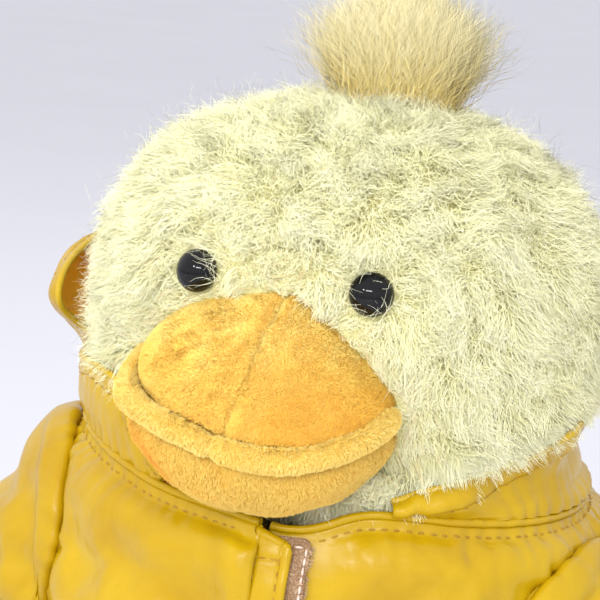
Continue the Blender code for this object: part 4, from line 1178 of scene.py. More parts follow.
def make_coat():
    P0, a = coat_grid(27, 142)
    cloth = Cloth(P0, outward=P0 * [1, 1, 0])
    N0 = cloth.N
    z, x, y = P0[..., 2], P0[..., 0], P0[..., 1]
    below = TOP - dip(a) - z  # how far under the neckline
    front = y < 0
    # The cloth rolls out under the neckline and fills out over the shoulders.
    lift = 1.5 * np.exp(-(((below - 9) / 5.0) ** 2)) + 0.8 * np.exp(-(((below - 30) / 16) ** 2))
    # The upper front rises over the lower one towards its edge.
    lift = lift + np.where(front & (a > np.pi), 3.1 * smooth_step(x, -13, 2.4), 0)
    calm = np.where(front & (a < np.pi), 1 - smooth_step(x, 15, 26), 0)
    lift = lift * (1 - calm) + shoulder(np.degrees(np.where(a > np.pi, a - 2 * np.pi, a)), z)
    P0 = P0 + N0 * lift[..., None]
    hold = np.full(P0.shape[:2], 0.0)
    hold[-1] = 1.0
    hold[-2] = 0.35
    hold[0] = 0.45
    hold[:, 0] = 1.0
    hold[:, -1] = 1.0
    hold = np.maximum(hold, calm)
    near = hole_gap(P0)
    hold = np.maximum(hold, np.where(np.abs(near) < 2.6, 0.9, 0))
    hold = np.where(near < -2.6, 1.0, hold)
    for seam in (SEAM, 2 * np.pi - SEAM):
        hold = np.maximum(hold, 0.35 * (np.abs(a - seam) < 0.03))
    P = relax(P0, N0, hold, (0.050, 0.034), steps=300, span=(-2.2, 3.4), seed=203, size=26, start=0.9)
    fine = resample(P, 90, 441)
    _, a = coat_grid(90, 441)
    cloth = Cloth(fine, outward=fine * [1, 1, 0])
    p = cloth.P
    below = TOP - dip(a) - p[..., 2]
    above = p[..., 2] - HEM
    s = a * 68
    shake = Waves(204, 20, 6)(p) * 3
    push = -0.40 * np.exp(-(((below - 2.6) / 0.55) ** 2)) + 0.30 * np.exp(-(((below - 4.4) / 1.2) ** 2))
    push += 0.30 * np.sin(s * 2 * np.pi / 6.0 + shake) * np.exp(-np.abs(below - 2.6) / 4.0)
    push += -0.35 * np.exp(-(((above - 6.0) / 0.55) ** 2)) + 0.22 * np.sin(s * 2 * np.pi / 8.0 + shake) * np.exp(-np.abs(above - 6.0) / 3.5)
    for seam in (SEAM, 2 * np.pi - SEAM):
        far = np.abs(a - seam) * 68
        push += -0.55 * np.exp(-((far / 0.7) ** 2)) + 0.28 * np.sin(p[..., 2] * 2 * np.pi / 7.0 + shake) * np.exp(-far / 4.0)
    near = hole_gap(p)
    across, over, _, _ = hole_view(p)
    turn = np.arctan2(over, across)
    push += np.where(near > -2, -0.5 * np.exp(-((near / 0.9) ** 2)) + 0.42 * np.sin(turn * 24 + shake) * np.exp(-np.maximum(near, 0) / 5.0), 0)
    edge = np.where((p[..., 1] < 0) & (a < np.pi), smooth_step(p[..., 0], 15, 24), 1)
    cloth.push(push * edge)
    cloth.a = a
    return cloth


COAT_GRID = make_coat()


def coat_rc(a, z):
    """Row and column of the coat's grid at an angle and a height, where it hadn't yet been folded."""
    a = np.asarray(a, float) % (2 * np.pi)
    z = np.asarray(z, float)
    rx, _ = coat_radii(z)
    a0, a1 = np.arcsin(3.6 / rx), 2 * np.pi + np.arcsin(2.9 / rx)
    c = (a - a0) / (a1 - a0) * (COAT_GRID.C - 1)
    top = TOP - dip(a)
    v = np.where(z > 92, 92 + (z - 92), z)
    # undo the sag at the front, which is spread over the cloth above 92 mm
    for _ in range(4):
        v = z + dip(a) * smooth_step(v, 92, TOP)
    r = (v - HEM) / (TOP - HEM) * (COAT_GRID.R - 1)
    return r, c


def snap_to_hole(cloth):
    """The points beside each armhole move onto its edge."""
    p = cloth.P
    near = hole_gap(p)
    take = np.abs(near) < 0.62
    y, z, _, _ = hole_view(p)
    radial = np.stack([0 * y, y, z], -1)
    radial = unit(radial)
    cloth.P = np.where(take[..., None], p - radial * near[..., None], p)


snap_to_hole(COAT_GRID)
keep_panel = lambda c: hole_gap(c) > -0.15
c1 = int(round(float(coat_rc(SEAM, 80.0)[1])))
c2 = int(round(float(coat_rc(2 * np.pi - SEAM, 80.0)[1])))
last = COAT_GRID.C - 1
for name, node, cols, flat in (
    ("coat_front_left_cloth", "coat_front_left", (0, c1), (0.125, 0.092)),
    ("coat_back_cloth", "coat_back", (c1, c2), (0.215, 0.092)),
    ("coat_front_right_cloth", "coat_front_right", (c2, last), (0.125, 0.092)),
):
    obj = COAT_GRID.shell(name, "torso", [COAT, COAT_BACK, COAT_EDGE], 0.8, cols, keep_panel, "coat")
    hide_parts(node)

# The welt round the neckline, with the cloth's edges sewn into it.
cols = np.linspace(0.5, last - 0.5, 420)
edge = COAT_GRID.at(np.full(420, COAT_GRID.R - 1.0), cols)
edge_n = COAT_GRID.normal(np.full(420, COAT_GRID.R - 1.0), cols)
welt = edge + np.array([0, 0, 0.6]) + edge_n * 0.35
welt += edge_n * (Waves(206, 14, 6)(welt) * 0.18)[:, None]
fat = 0.98 + 0.08 * Waves(207, 8, 6)(welt)
obj = tube("neck_welt", "torso", COAT, welt, edge_n, fat, 14)
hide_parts("neck_piping")

cols = np.linspace(0.5, last - 0.5, 420)
low = COAT_GRID.at(np.zeros(420), cols)
low_n = COAT_GRID.normal(np.zeros(420), cols)
obj = tube("hem_roll", "torso", COAT, low + np.array([0, 0, -0.6]), low_n, 1.15 + 0.08 * Waves(208, 9, 6)(low), 12)
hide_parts("hem_binding")


def run_on(cloth, r, c, out=0.45):
    """A line for stitches on a cloth: (points, normals)."""
    r, c = np.broadcast_arrays(np.asarray(r, float), np.asarray(c, float))
    n = cloth.normal(r, c)
    return cloth.P_at(r, c) + n * out, n


Cloth.P_at = lambda self, r, c: self.sample(self.P, r, c)



def off_hole(run, gap=1.2):
    """The parts of a line that keep clear of the armholes."""
    points, normals = run
    good = hole_gap(points) > gap
    marks = np.flatnonzero(np.diff(np.concatenate([[0], good.astype(int), [0]])))
    return [(points[i:j], normals[i:j]) for i, j in zip(marks[::2], marks[1::2]) if j - i > 8]


runs = []
row_step = (TOP - HEM) / (COAT_GRID.R - 1)
c_flap = float(coat_rc(math.asin(0.22), 110.0)[1])
runs.extend(off_hole(run_on(COAT_GRID, COAT_GRID.R - 1 - 2.6 / row_step, np.linspace(c_flap, last - 6, 700))))
runs.append(run_on(COAT_GRID, 6.0 / row_step, np.linspace(c_flap, last - 6, 500)))
for c in (c1, c2):
    r = np.linspace(4, COAT_GRID.R - 6, 120)
    r = r[hole_gap(COAT_GRID.P_at(r, np.full(120, c + 2.2))) > 2.0]
    if len(r) > 5:
        runs.append(run_on(COAT_GRID, r, c + 2.2))
stitches("coat_stitches", "torso", THREAD, runs, 2.9, 1.7)

# ------------------------------------------------------------------ front closure
def front_strip(name, body, x0, x1, z0, z1, out, thick, mats, slot, rows=150, columns=20, corner=2.0, wobble=0.12, seed=301, lean=None, rise=None):
    """A band up the front with rounded corners, as a sheet of points; pillow makes it a closed pad with soft edges."""
    v, u = np.meshgrid(np.linspace(0, 1, rows), np.linspace(0, 1, columns), indexing="ij")
    x = x0 + (x1 - x0) * u
    z1 = z1(x) if callable(z1) else z1
    z = z0 + (z1 - z0) * v
    # rounded corners pull the ends of the outer columns in
    side = np.abs(u - 0.5) * 2
    inset = np.maximum(0, corner - np.minimum(x - x0, x1 - x))
    cut = corner - np.sqrt(np.maximum(0, corner**2 - inset**2))
    z = np.where(v > 0.5, np.minimum(z, z1 - cut), np.maximum(z, z0 + cut))
    rx, _ = coat_radii(z)
    a = np.arcsin(x / rx)
    wave = Waves(seed, 16, 7)
    P = around(a, z, out)
    P = around(a, z, out + wave(P) * wobble + (0 if rise is None else rise(x, z)))
    cloth = Cloth(P, outward=np.array([0, -1.0, 0]) + 0 * P)
    cloth.x, cloth.z = x, z
    return cloth


def pillow(cloth, name, body, mats, thick, soft=1.0):
    """The band as a closed body: thick in the middle, thinning over `soft` millimetres at its edge."""
    x, z = cloth.x, cloth.z
    edge = np.minimum(np.minimum(x - x.min(), x.max() - x), np.minimum(z - z.min(), z.max() - z))
    t = thick * np.sqrt(np.clip(edge / soft, 0.04, 1))
    F = grid_faces(cloth.R, cloth.C)
    flat = cloth.P.reshape(-1, 3)
    way = np.cross(flat[F[:, 1]] - flat[F[:, 0]], flat[F[:, 3]] - flat[F[:, 0]])
    if (way * cloth.N.reshape(-1, 3)[F[:, 0]]).sum() < 0:
        F = F[:, ::-1]
    n = len(flat)
    V = np.concatenate([(cloth.P + cloth.N * t[..., None] / 2).reshape(-1, 3), (cloth.P - cloth.N * t[..., None] / 2).reshape(-1, 3)])
    E = np.concatenate([F[:, [0, 1]], F[:, [1, 2]], F[:, [2, 3]], F[:, [3, 0]]])
    key = np.sort(E, 1)
    _, first, uses = np.unique(key[:, 0].astype(np.int64) * n + key[:, 1], return_index=True, return_counts=True)
    rim = E[first[uses == 1]]
    side = np.stack([rim[:, 1], rim[:, 0], rim[:, 0] + n, rim[:, 1] + n], 1)
    faces = np.concatenate([F, F[:, ::-1] + n, side])
    index = np.concatenate([np.zeros(len(F)), np.ones(len(F)), np.full(len(side), 2)]).astype(int)
    obj = make_mesh(name, V, faces, body, mats, index)
    return obj


FLAP_X0, FLAP_X1 = 1.4, 10.3


def flap_top(x):
    return 130.2 - 0.37 * (np.asarray(x, float) - FLAP_X0)


flap = front_strip("flap", "placket", FLAP_X0, FLAP_X1, 42.0, flap_top, 3.6, 1.2, None, "coat", 170, 24, 1.2, 0.22, 302)
x, z = flap.x, flap.z
stitch_x = (2.7, 8.1)
push = np.zeros_like(x)
for sx in stitch_x:
    push -= 0.34 * np.exp(-(((x - sx) / 0.5) ** 2))
push -= 0.3 * np.exp(-(((z - 124.0) / 0.5) ** 2)) * ((x > 2.7) & (x < 8.1))
push += 0.24 * np.exp(-(((x - 5.4) / 1.7) ** 2)) + 0.32 * np.exp(-(((x - 9.3) / 0.8) ** 2))
push += 0.16 * np.sin(z * 2 * np.pi / 6.4 + 2 * Waves(303, 18, 5)(flap.P)) * np.exp(-np.abs(x - 8.1) / 1.5)
flap.push(push)
obj = pillow(flap, "flap_cloth", "placket", [COAT, COAT_BACK, COAT_EDGE], 1.3, 0.8)
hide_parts("placket_flap")


def flap_line(xs, zs):
    c = (np.asarray(xs, float) - FLAP_X0) / (FLAP_X1 - FLAP_X0) * (flap.C - 1)
    r = (np.asarray(zs, float) - 42.0) / (flap_top(xs) - 42.0) * (flap.R - 1)
    r, c = np.broadcast_arrays(r, c)
    n = flap.normal(r, c)
    return flap.P_at(r, c) + n * 0.62, n


zs = np.linspace(45, 124.0, 110)
xs = np.linspace(2.7, 8.1, 12)
stitches("flap_stitches", "placket", THREAD, [flap_line(np.full(110, 2.7), zs), flap_line(np.full(110, 8.1), np.linspace(45, 125.0, 110)), flap_line(xs, np.full(12, 124.0)), flap_line(xs, np.full(12, 45.0))], 2.9, 2.1)
# the neckline's welt runs on across the flap's end
xs = np.linspace(FLAP_X0 + 0.3, FLAP_X1 - 0.6, 24)
points, normals = flap_line(xs, flap_top(xs) - 0.3)
welt_end = tube("flap_welt", "placket", COAT, points - normals * 0.75, normals, 1.15 * np.minimum(1, 0.55 + np.linspace(1, 0, 24) * 2.5), 12)

LOOP_X0, LOOP_X1, LOOP_Z1 = 5.2, 14.0, 128.6
loop = front_strip("loop", "torso", LOOP_X0, LOOP_X1, 46.0, LOOP_Z1, 1.3, 0.9, None, "loop", 150, 24, 2.2, 0.08, 304)
obj = pillow(loop, "loop_tape", "torso", [LOOP_HIDE, LOOP_HIDE, LOOP_HIDE], 1.0, 0.9)
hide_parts("loop_strip")
rng = np.random.default_rng(305)
edge_of = lambda p: np.minimum(np.abs(p[..., 0] - 17.6), 99)
nap("loop_fuzz", "torso", loop.P + loop.N * 0.35, loop.N, 9000, 1.0, lambda root, normal: swirl(root, normal, 0.9, 1.2), LOOP, rng, wrap=False, width=0.16, slot="loop")


def strip_line(cloth, x0, x1, z0, z1, xs, zs, out):
    c = (np.asarray(xs, float) - x0) / (x1 - x0) * (cloth.C - 1)
    r = (np.asarray(zs, float) - z0) / (z1 - z0) * (cloth.R - 1)
    r, c = np.broadcast_arrays(r, c)
    n = cloth.normal(r, c)
    return cloth.P_at(r, c) + n * out, n


zs = np.linspace(48, 126.6, 110)
stitches("loop_stitches", "torso", PALE_THREAD, [strip_line(loop, LOOP_X0, LOOP_X1, 46, LOOP_Z1, np.full(110, 13.1), zs, 0.85), strip_line(loop, LOOP_X0, LOOP_X1, 46, LOOP_Z1, np.linspace(7, 12.7, 12), np.full(12, 126.6), 0.85)], 2.1, 1.9, 0.32)
# frayed ends along the tape's edge
fray_r = np.random.default_rng(306).uniform(2, loop.R - 3, 700)
n = loop.normal(fray_r, np.full(700, loop.C - 1.2))
p = loop.P_at(fray_r, np.full(700, loop.C - 1.2))
fur("loop_fray", "torso", p, unit(n * 0.55 + np.array([0.8, 0.1, 0])), np.full(700, 1.5), np.zeros((700, 3)), LOOP[1:], lambda s, number, r: (s > 0.4).astype(int), per_clump=5, knots=4, curl=0.8, turns=0.7, spread=0.5, clump_pull=0.2, width=0.14, rng=np.random.default_rng(307), slot="loop")

hook = front_strip("hook", "placket", 3.4, 9.4, 46.0, 123.5, 2.45, 0.7, None, "hook", 120, 14, 1.0, 0.05, 308)
obj = pillow(hook, "hook_tape_strip", "placket", [HOOK, HOOK, HOOK], 0.6, 0.4)
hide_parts("hook_strip")
# rows of small stiff hooks on the side that meets the loops
rr, cc = np.meshgrid(np.linspace(2, hook.R - 3, 60), np.linspace(1, hook.C - 2, 9), indexing="ij")
hp, hn = hook.P_at(rr.ravel(), cc.ravel()), hook.normal(rr.ravel(), cc.ravel())
fur("hook_rows", "placket", hp - hn * 0.25, -hn, np.full(len(hp), 0.6), tangent(np.array([0, 0, 1.0]) + 0 * hp, hn) * 0.3, [HOOK], lambda s, number, r: np.zeros(len(s), int), per_clump=50, knots=4, curl=0.05, turns=0.1, spread=0.02, clump_pull=0.0, width=0.2, rng=np.random.default_rng(309), slot="hook")

# ------------------------------------------------------------------ hood
HOOD_A0, HOOD_A1 = math.asin(30.0 / 64.5), 2 * np.pi - math.asin(26.0 / 64.5)


# The rim's height over the coat's edge, by the angle from the front.
_RISE = np.array(((-180, 60), (-140, 56), (-122, 51), (-112, 45), (-104, 35), (-98, 24), (-93, 17), (-88, 14.5), (-80, 14), (-70, 14.8), (-60, 17), (-50, 17), (-40, 16), (-34, 12.5), (-28, 9), (-23.8, 5), (27.7, 1.0), (30, 2.8), (36.5, 5.8), (44.7, 9.3), (54, 12.8), (62, 15.5), (71, 19), (80, 21.4), (88, 21), (96, 20), (106, 20.5), (116, 25), (126, 34), (140, 47), (155, 55), (180, 60)), float)


def hood_rise(deg):
    return sum(np.interp(deg + d, _RISE[:, 0], _RISE[:, 1], period=360) for d in (-2, 0, 2)) / 3


def hood_grid(rows, columns):
    v, u = np.meshgrid(np.linspace(0, 1, rows), np.linspace(0, 1, columns), indexing="ij")
    a = HOOD_A0 + (HOOD_A1 - HOOD_A0) * u
    signed = np.where(a > np.pi, a - 2 * np.pi, a)
    deg = np.degrees(signed)
    turn = np.abs(signed)
    rise = hood_rise(deg)
    back = 0.5 - 0.5 * np.cos(a)
    out = np.sin(v * np.pi * 0.80) * (2 + 17 * back) + v * (1 - 3 * (1 - back) + 4 * np.sin(turn) ** 2 * back)
    # its edge flops forward on the duck's right
    high = rise * v
    forward = np.radians(24.0) * bell(high, 31, 12) * smooth_step(deg, -152, -102) * (deg < -40)
    a = a + forward
    out += 1.8 * smooth_step(high, 6, 26) * bell(deg, -100, 26)
    # on the duck's right its low part lies smooth against the cheek
    near = smooth_step(deg, -100, -88) * (deg < 0)
    cheek = 2.2 * bell(deg, -88, 27) + (0.3 + 1.5 * smooth_step(-deg, 40, 75)) * smooth_step(v, 0, 0.35) - 0.8 * smooth_step(v, 0.5, 1)
    out = out * (1 - near) + cheek * near
    # on its left the cloth folds in over the neckline and turns out again towards the rim
    near = smooth_step(deg, 36, 54) * (1 - smooth_step(deg, 114, 134)) * (deg > 0)
    side = smooth_step(deg, 72, 88)
    fold = 0.2 - 2.6 * side * smooth_step(high, 0.5, 5) - 2.4 * bell(high, 9 + 4.5 * smooth_step(deg, 70, 90), 5.5) * smooth_step(high, 1, 5) + 1.2 * smooth_step(high, 12, 20) * (1 - side) - 0.4 * smooth_step(high, 14, 22) * side
    out = out * (1 - near) + fold * near
    rx, ry = coat_radii(133.0)
    z0 = edge_z(a - forward) + 1.5
    P = np.stack([(rx + out) * np.sin(a), -(ry + out) * np.cos(a), z0 + rise * v], -1)
    return P, a, v


def make_hood():
    P0, a, v = hood_grid(26, 130)
    middle = np.array([0, 0, 1.0])
    cloth = Cloth(P0, outward=P0 * [1, 1, 0])
    hold = np.zeros(P0.shape[:2])
    hold[0] = 1.0
    hold[1] = 0.5
    hold[-1] = 0.30
    hold[-2] = 0.10
    hold[:, 0] = hold[:, -1] = 0.8
    deg = np.degrees(np.where(a > np.pi, a - 2 * np.pi, a))
    hold = np.maximum(hold, 0.22 * smooth_step(deg, -92, -80) * (deg < 0) + 0.20 * bell(deg, 84, 40))
    P = relax(P0, cloth.N, hold, (0.045, 0.040), steps=300, span=(-2.4, 3.0), seed=402, size=30, start=0.9)
    fine = resample(P, 70, 380)
    _, a, v = hood_grid(70, 380)
    cloth = Cloth(fine, outward=fine * [1, 1, 0])
    p = cloth.P
    # distance from the rim and from the neckline, along the rows
    steps = np.linalg.norm(np.diff(p, axis=0), axis=-1)
    from_low = np.concatenate([np.zeros((1, p.shape[1])), np.cumsum(steps, 0)])
    from_rim = from_low[-1:] - from_low
    s = a * 74
    shake = Waves(404, 20, 6)(p) * 3
    push = 0.55 * smooth_step(-from_rim, -5.6, -4.9) - 0.35 * bell(from_rim, 5.2, 0.55)
    push += 0.25 * np.sin(s * 2 * np.pi / 7.0 + shake) * np.exp(-np.abs(from_rim - 5.2) / 3.0)
    push += 0.35 * np.sin(s * 2 * np.pi / 6.5 + shake) * np.exp(-from_low / 4.5)
    seam = np.abs(a - np.pi) * 74
    push += -0.6 * np.exp(-((seam / 0.8) ** 2)) + 0.25 * np.sin(from_low * 2 * np.pi / 6.0 + shake) * np.exp(-seam / 4)
    cloth.push(push)
    cloth.a, cloth.from_rim, cloth.from_low = a, from_rim, from_low
    return cloth


HOOD_GRID = make_hood()
mid = HOOD_GRID.C // 2
made = []
for name, node, cols in (("hood_left_cloth", "hood_left", (0, mid)), ("hood_right_cloth", "hood_right", (mid, HOOD_GRID.C - 1))):
    obj = HOOD_GRID.shell(name, None, [COAT, COAT_BACK, COAT_EDGE], 0.95, cols, None, "coat_in")
    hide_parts(node)
    made.append(obj)
cols = np.linspace(0.3, HOOD_GRID.C - 1.3, 520)
top = np.full(520, HOOD_GRID.R - 1.0)
rim, rim_n = HOOD_GRID.P_at(top, cols), HOOD_GRID.normal(top, cols)
below = HOOD_GRID.P_at(top - 2, cols)
rim_path = rim + unit(rim - below) * 0.6
obj = tube("hood_rim_roll", None, COAT_EDGE, rim_path, rim_n, 0.9 + 0.06 * Waves(405, 9, 6)(rim_path), 12)
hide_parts("hood_binding")
made.append(obj)
# the stitch row below the rim
want = 5.2
rows_at = np.array([np.interp(-want, -HOOD_GRID.from_rim[:, int(c)], np.arange(HOOD_GRID.R)) for c in cols])
n = HOOD_GRID.normal(rows_at, cols)
tall = HOOD_GRID.from_rim[0, cols.astype(int)] > want + 1.0
outer = (HOOD_GRID.P_at(rows_at, cols)[tall] + n[tall] * 0.5, n[tall])
inner_side = (HOOD_GRID.P_at(rows_at, cols)[tall] - n[tall] * 0.5, -n[tall])
made.append(stitches("hood_stitches", None, THREAD, [outer, inner_side], 3.6, 1.6))
for obj in made:
    place([0, 30, 132.5]).tolist()
    place([0, 48, 144.0]).tolist()
    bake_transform(obj)


# ------------------------------------------------------------------ sleeves
WING_D = np.array([0.56, -0.09, -0.824])
WING_D = WING_D / np.linalg.norm(WING_D)
WING_C = np.array([92.5, -3.5, 75.5])
CUFF_C, CUFF_R = np.array([103.5, -6, 53.0]), (16.5, 20.5)


def sleeve_grid(rows, columns, sign):
    v, u = np.meshgrid(np.linspace(0, 1, rows), np.arange(columns) / columns, indexing="ij")
    a = 2 * np.pi * u
    hy, hz, hr_y, hr_z = HOLES[sign]
    y, z = hy + hr_y * np.cos(a), hz + hr_z * np.sin(a)
    rx, ry = coat_radii(z)
    start = np.stack([(rx + 0.5) * np.sqrt(1 - (y / (ry + 0.5)) ** 2), y, z], -1)
    start += unit(start * [1, 1, 0]) * shoulder(sign * np.degrees(np.arctan2(start[..., 0], -y)), z)[..., None]
    across = np.array([0, 1.0, 0])
    upward = np.cross(WING_D, across)
    upward = upward / np.linalg.norm(upward)
    if upward[0] < 0:
        upward = -upward
    end = CUFF_C + across * (CUFF_R[1] * np.cos(a))[..., None] + upward * (CUFF_R[0] * np.sin(a))[..., None]
    high = 0.5 + 0.5 * np.sin(a)
    out = np.stack([6 + 20 * high, 0 * high, -24 * (1 - high)], -1)
    if sign < 0:
        # the duck's right sleeve stands up from its seam before it falls
        out += np.stack([6 * high, 0 * high, 36 * high**2], -1)
    along = WING_D * 50.0
    w = v[..., None]
    P = start * (2 * w**3 - 3 * w**2 + 1) + out * (w**3 - 2 * w**2 + w) + end * (-2 * w**3 + 3 * w**2) + along * (w**3 - w**2)
    P[..., 0] *= sign
    return P, a, v


def make_sleeve(side, sign, seed):
    P0, a, v = sleeve_grid(26, 56, sign)
    middle = P0.mean(1, keepdims=True)
    cloth = Cloth(P0, wrap=True, outward=P0 - middle)
    hold = np.zeros(P0.shape[:2])
    hold[0] = 1.0
    hold[1] = 0.45
    hold[-1] = 0.35
    hold[-2] = 0.2
    P = relax(P0, cloth.N, hold, (0.085, 0.045), steps=300, wrap=True, span=(-2.6, 3.2), seed=seed, size=19, start=0.8)
    fine = resample(P, 64, 150, wrap=True)
    _, a, v = sleeve_grid(64, 150, sign)
    cloth = Cloth(fine, wrap=True, outward=fine - fine.mean(1, keepdims=True))
    steps = np.linalg.norm(np.diff(cloth.P, axis=0), axis=-1)
    from_top = np.concatenate([np.zeros((1, 150)), np.cumsum(steps, 0)])
    from_end = from_top[-1:] - from_top
    shake = Waves(seed + 1, 16, 6)(cloth.P) * 3
    push = 0.5 * np.sin(a * 20 + shake) * np.exp(-from_top / 5.0) + 0.7 * bell(from_top, 3.0, 2.2)
    push += 0.35 * smooth_step(-from_end, -6.4, -5.7) - 0.35 * bell(from_end, 6.0, 0.55)
    push += 0.22 * np.sin(a * 14 + shake) * np.exp(-np.abs(from_end - 6.0) / 3.0)
    # the under-arm seam
    under = np.abs(np.angle(np.exp(1j * (a + np.pi / 2)))) * 19
    push += -0.5 * np.exp(-((under / 0.7) ** 2))
    cloth.push(push)
    obj = cloth.shell("sleeve_" + side + "_cloth", None, [COAT, COAT_BACK, COAT_EDGE], 0.9, None, None, "coat")
    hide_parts("sleeve_" + side)
    made = [obj]
    cols = np.arange(150.0)
    ring = cloth.P_at(np.full(150, 0.3), cols)
    ring_n = cloth.normal(np.full(150, 0.3), cols)
    out_way = np.array([sign, 0, 0.0])
    made.append(tube("armhole_roll_" + side, None, COAT, ring, np.tile(out_way, (150, 1)), 0.65 + 0.08 * Waves(seed + 2, 8, 5)(ring), 10, closed=True))
    end = cloth.P_at(np.full(150, 63.0), cols)
    made.append(tube("cuff_roll_" + side, None, COAT, end, cloth.normal(np.full(150, 62.5), cols), 0.95, 10, closed=True))
    rows_at = np.array([np.interp(-6.0, -from_end[:, int(c)], np.arange(64)) for c in cols])
    rows_at = np.append(rows_at, rows_at[0])
    cc = np.append(cols, 149.99)
    n = cloth.normal(rows_at, cc)
    made.append(stitches("sleeve_stitches_" + side, None, THREAD, [(cloth.P_at(rows_at, cc) + n * 0.48, n)], 3.1, 2.2))
    for o in made:
        place([sign * 70.5, 0, 107]).tolist()
        place([sign * 82, 0, 94]).tolist()
        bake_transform(o)


make_sleeve("left", 1, 511)
make_sleeve("right", -1, 531)


# ------------------------------------------------------------------ body, wings, legs, feet and tail
def capped(name, body, P, mat, closed_low=True, closed_high=True):
    rows, columns = P.shape[:2]
    V = [P.reshape(-1, 3)]
    faces = [grid_faces(rows, columns, True)]
    c = np.arange(columns)
    base = rows * columns
    tri = []
    if closed_low:
        V.append(P[0].mean(0)[None])
        tri.append(np.stack([np.full(columns, base), (c + 1) % columns, c], 1))
        base += 1
    if closed_high:
        V.append(P[-1].mean(0)[None])
        tri.append(np.stack([np.full(columns, base), (rows - 1) * columns + c, (rows - 1) * columns + (c + 1) % columns], 1))
    if tri:
        faces.append(np.concatenate(tri))
    obj = make_mesh(name, np.concatenate(V), faces, body, mat)
    bm = bmesh.new()
    bm.from_mesh(obj.data)
    bmesh.ops.remove_doubles(bm, verts=bm.verts, dist=1e-7)
    bmesh.ops.recalc_face_normals(bm, faces=bm.faces)
    bm.to_mesh(obj.data)
    bm.free()
    return obj


def pile_tone(top, seed):
    def tone(share, number, root):
        each = np.random.default_rng(seed).normal(size=len(root)) * 0.5
        # Deeper at the root and paler towards the tip: painted shade deep in the pile.
        return np.clip(np.floor(share * (top - 0.4) + 0.7 + each[number]), 0, top).astype(int)

    return tone


def pelt(name, body, P, N, count, length, seed, keep, comb_way=(0, 0, -1.0), comb_amount=0.5, knots=5, slot="pile"):
    rng = np.random.default_rng(seed)
    root, normal = scatter(P, N, count, rng, keep=keep)
    each = length * rng.uniform(0.7, 1.2, len(root))
    # Pile near the ground lies along it.
    room = np.clip((root[:, 2] - 0.6) / (each * 0.9), 0.18, 1) if True else 1
    normal = unit(normal * np.stack([np.ones(len(root)), np.ones(len(root)), np.where(normal[:, 2] < 0, room, 1)], -1))
    comb = tangent(np.asarray(comb_way) + 0 * root, normal) * comb_amount + swirl(root, normal, 0.6)
    comb[:, 2] = np.where(root[:, 2] < 6, np.maximum(comb[:, 2], -0.05), comb[:, 2])
    made = fur(name, body, root, normal, each, comb, PILE[:5], pile_tone(4, seed), per_clump=24, most=23500, knots=knots, curl=0.7, turns=1.0, spread=0.3, clump_pull=0.7, width=0.27, rng=rng, droop=0.1, slot=slot)
    return made


BODY_P = soft_form((62, 57), 61.5, 60, 3.0, 4.0, 70, 140, -0.7, centre=(0, 0, 60), low=-0.963)
BODY_N = grid_normals(BODY_P, True, (0, 0, 60))
obj = capped("body_hide", "torso", BODY_P + BODY_N * (Waves(601, 26, 8)(BODY_P) * 0.5)[..., None], HIDE)
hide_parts("body_skin")


def low_body(p):
    legs = np.minimum(np.hypot(p[..., 0] - 31, p[..., 2] - 18), np.hypot(p[..., 0] + 31, p[..., 2] - 18))
    clear = ~((legs < 14.5) & (p[..., 1] < 0)) & ~((np.abs(p[..., 0]) < 13) & (p[..., 1] > 40) & (np.abs(p[..., 2] - 21) < 8))
    return ((p[..., 2] > 3.0) & (p[..., 2] < 47) & clear).astype(float)


pelt("body_pile", "torso", BODY_P, BODY_N, 23000, 7.0, 602, low_body)
pelt("neck_pile", "torso", BODY_P, BODY_N, 2600, 9.0, 603, lambda p: ((p[..., 1] < -34) & (np.abs(p[..., 0]) < 30) & (p[..., 2] > 106) & (p[..., 2] < 118)).astype(float), (0.2, -0.6, 0.7), 0.6)

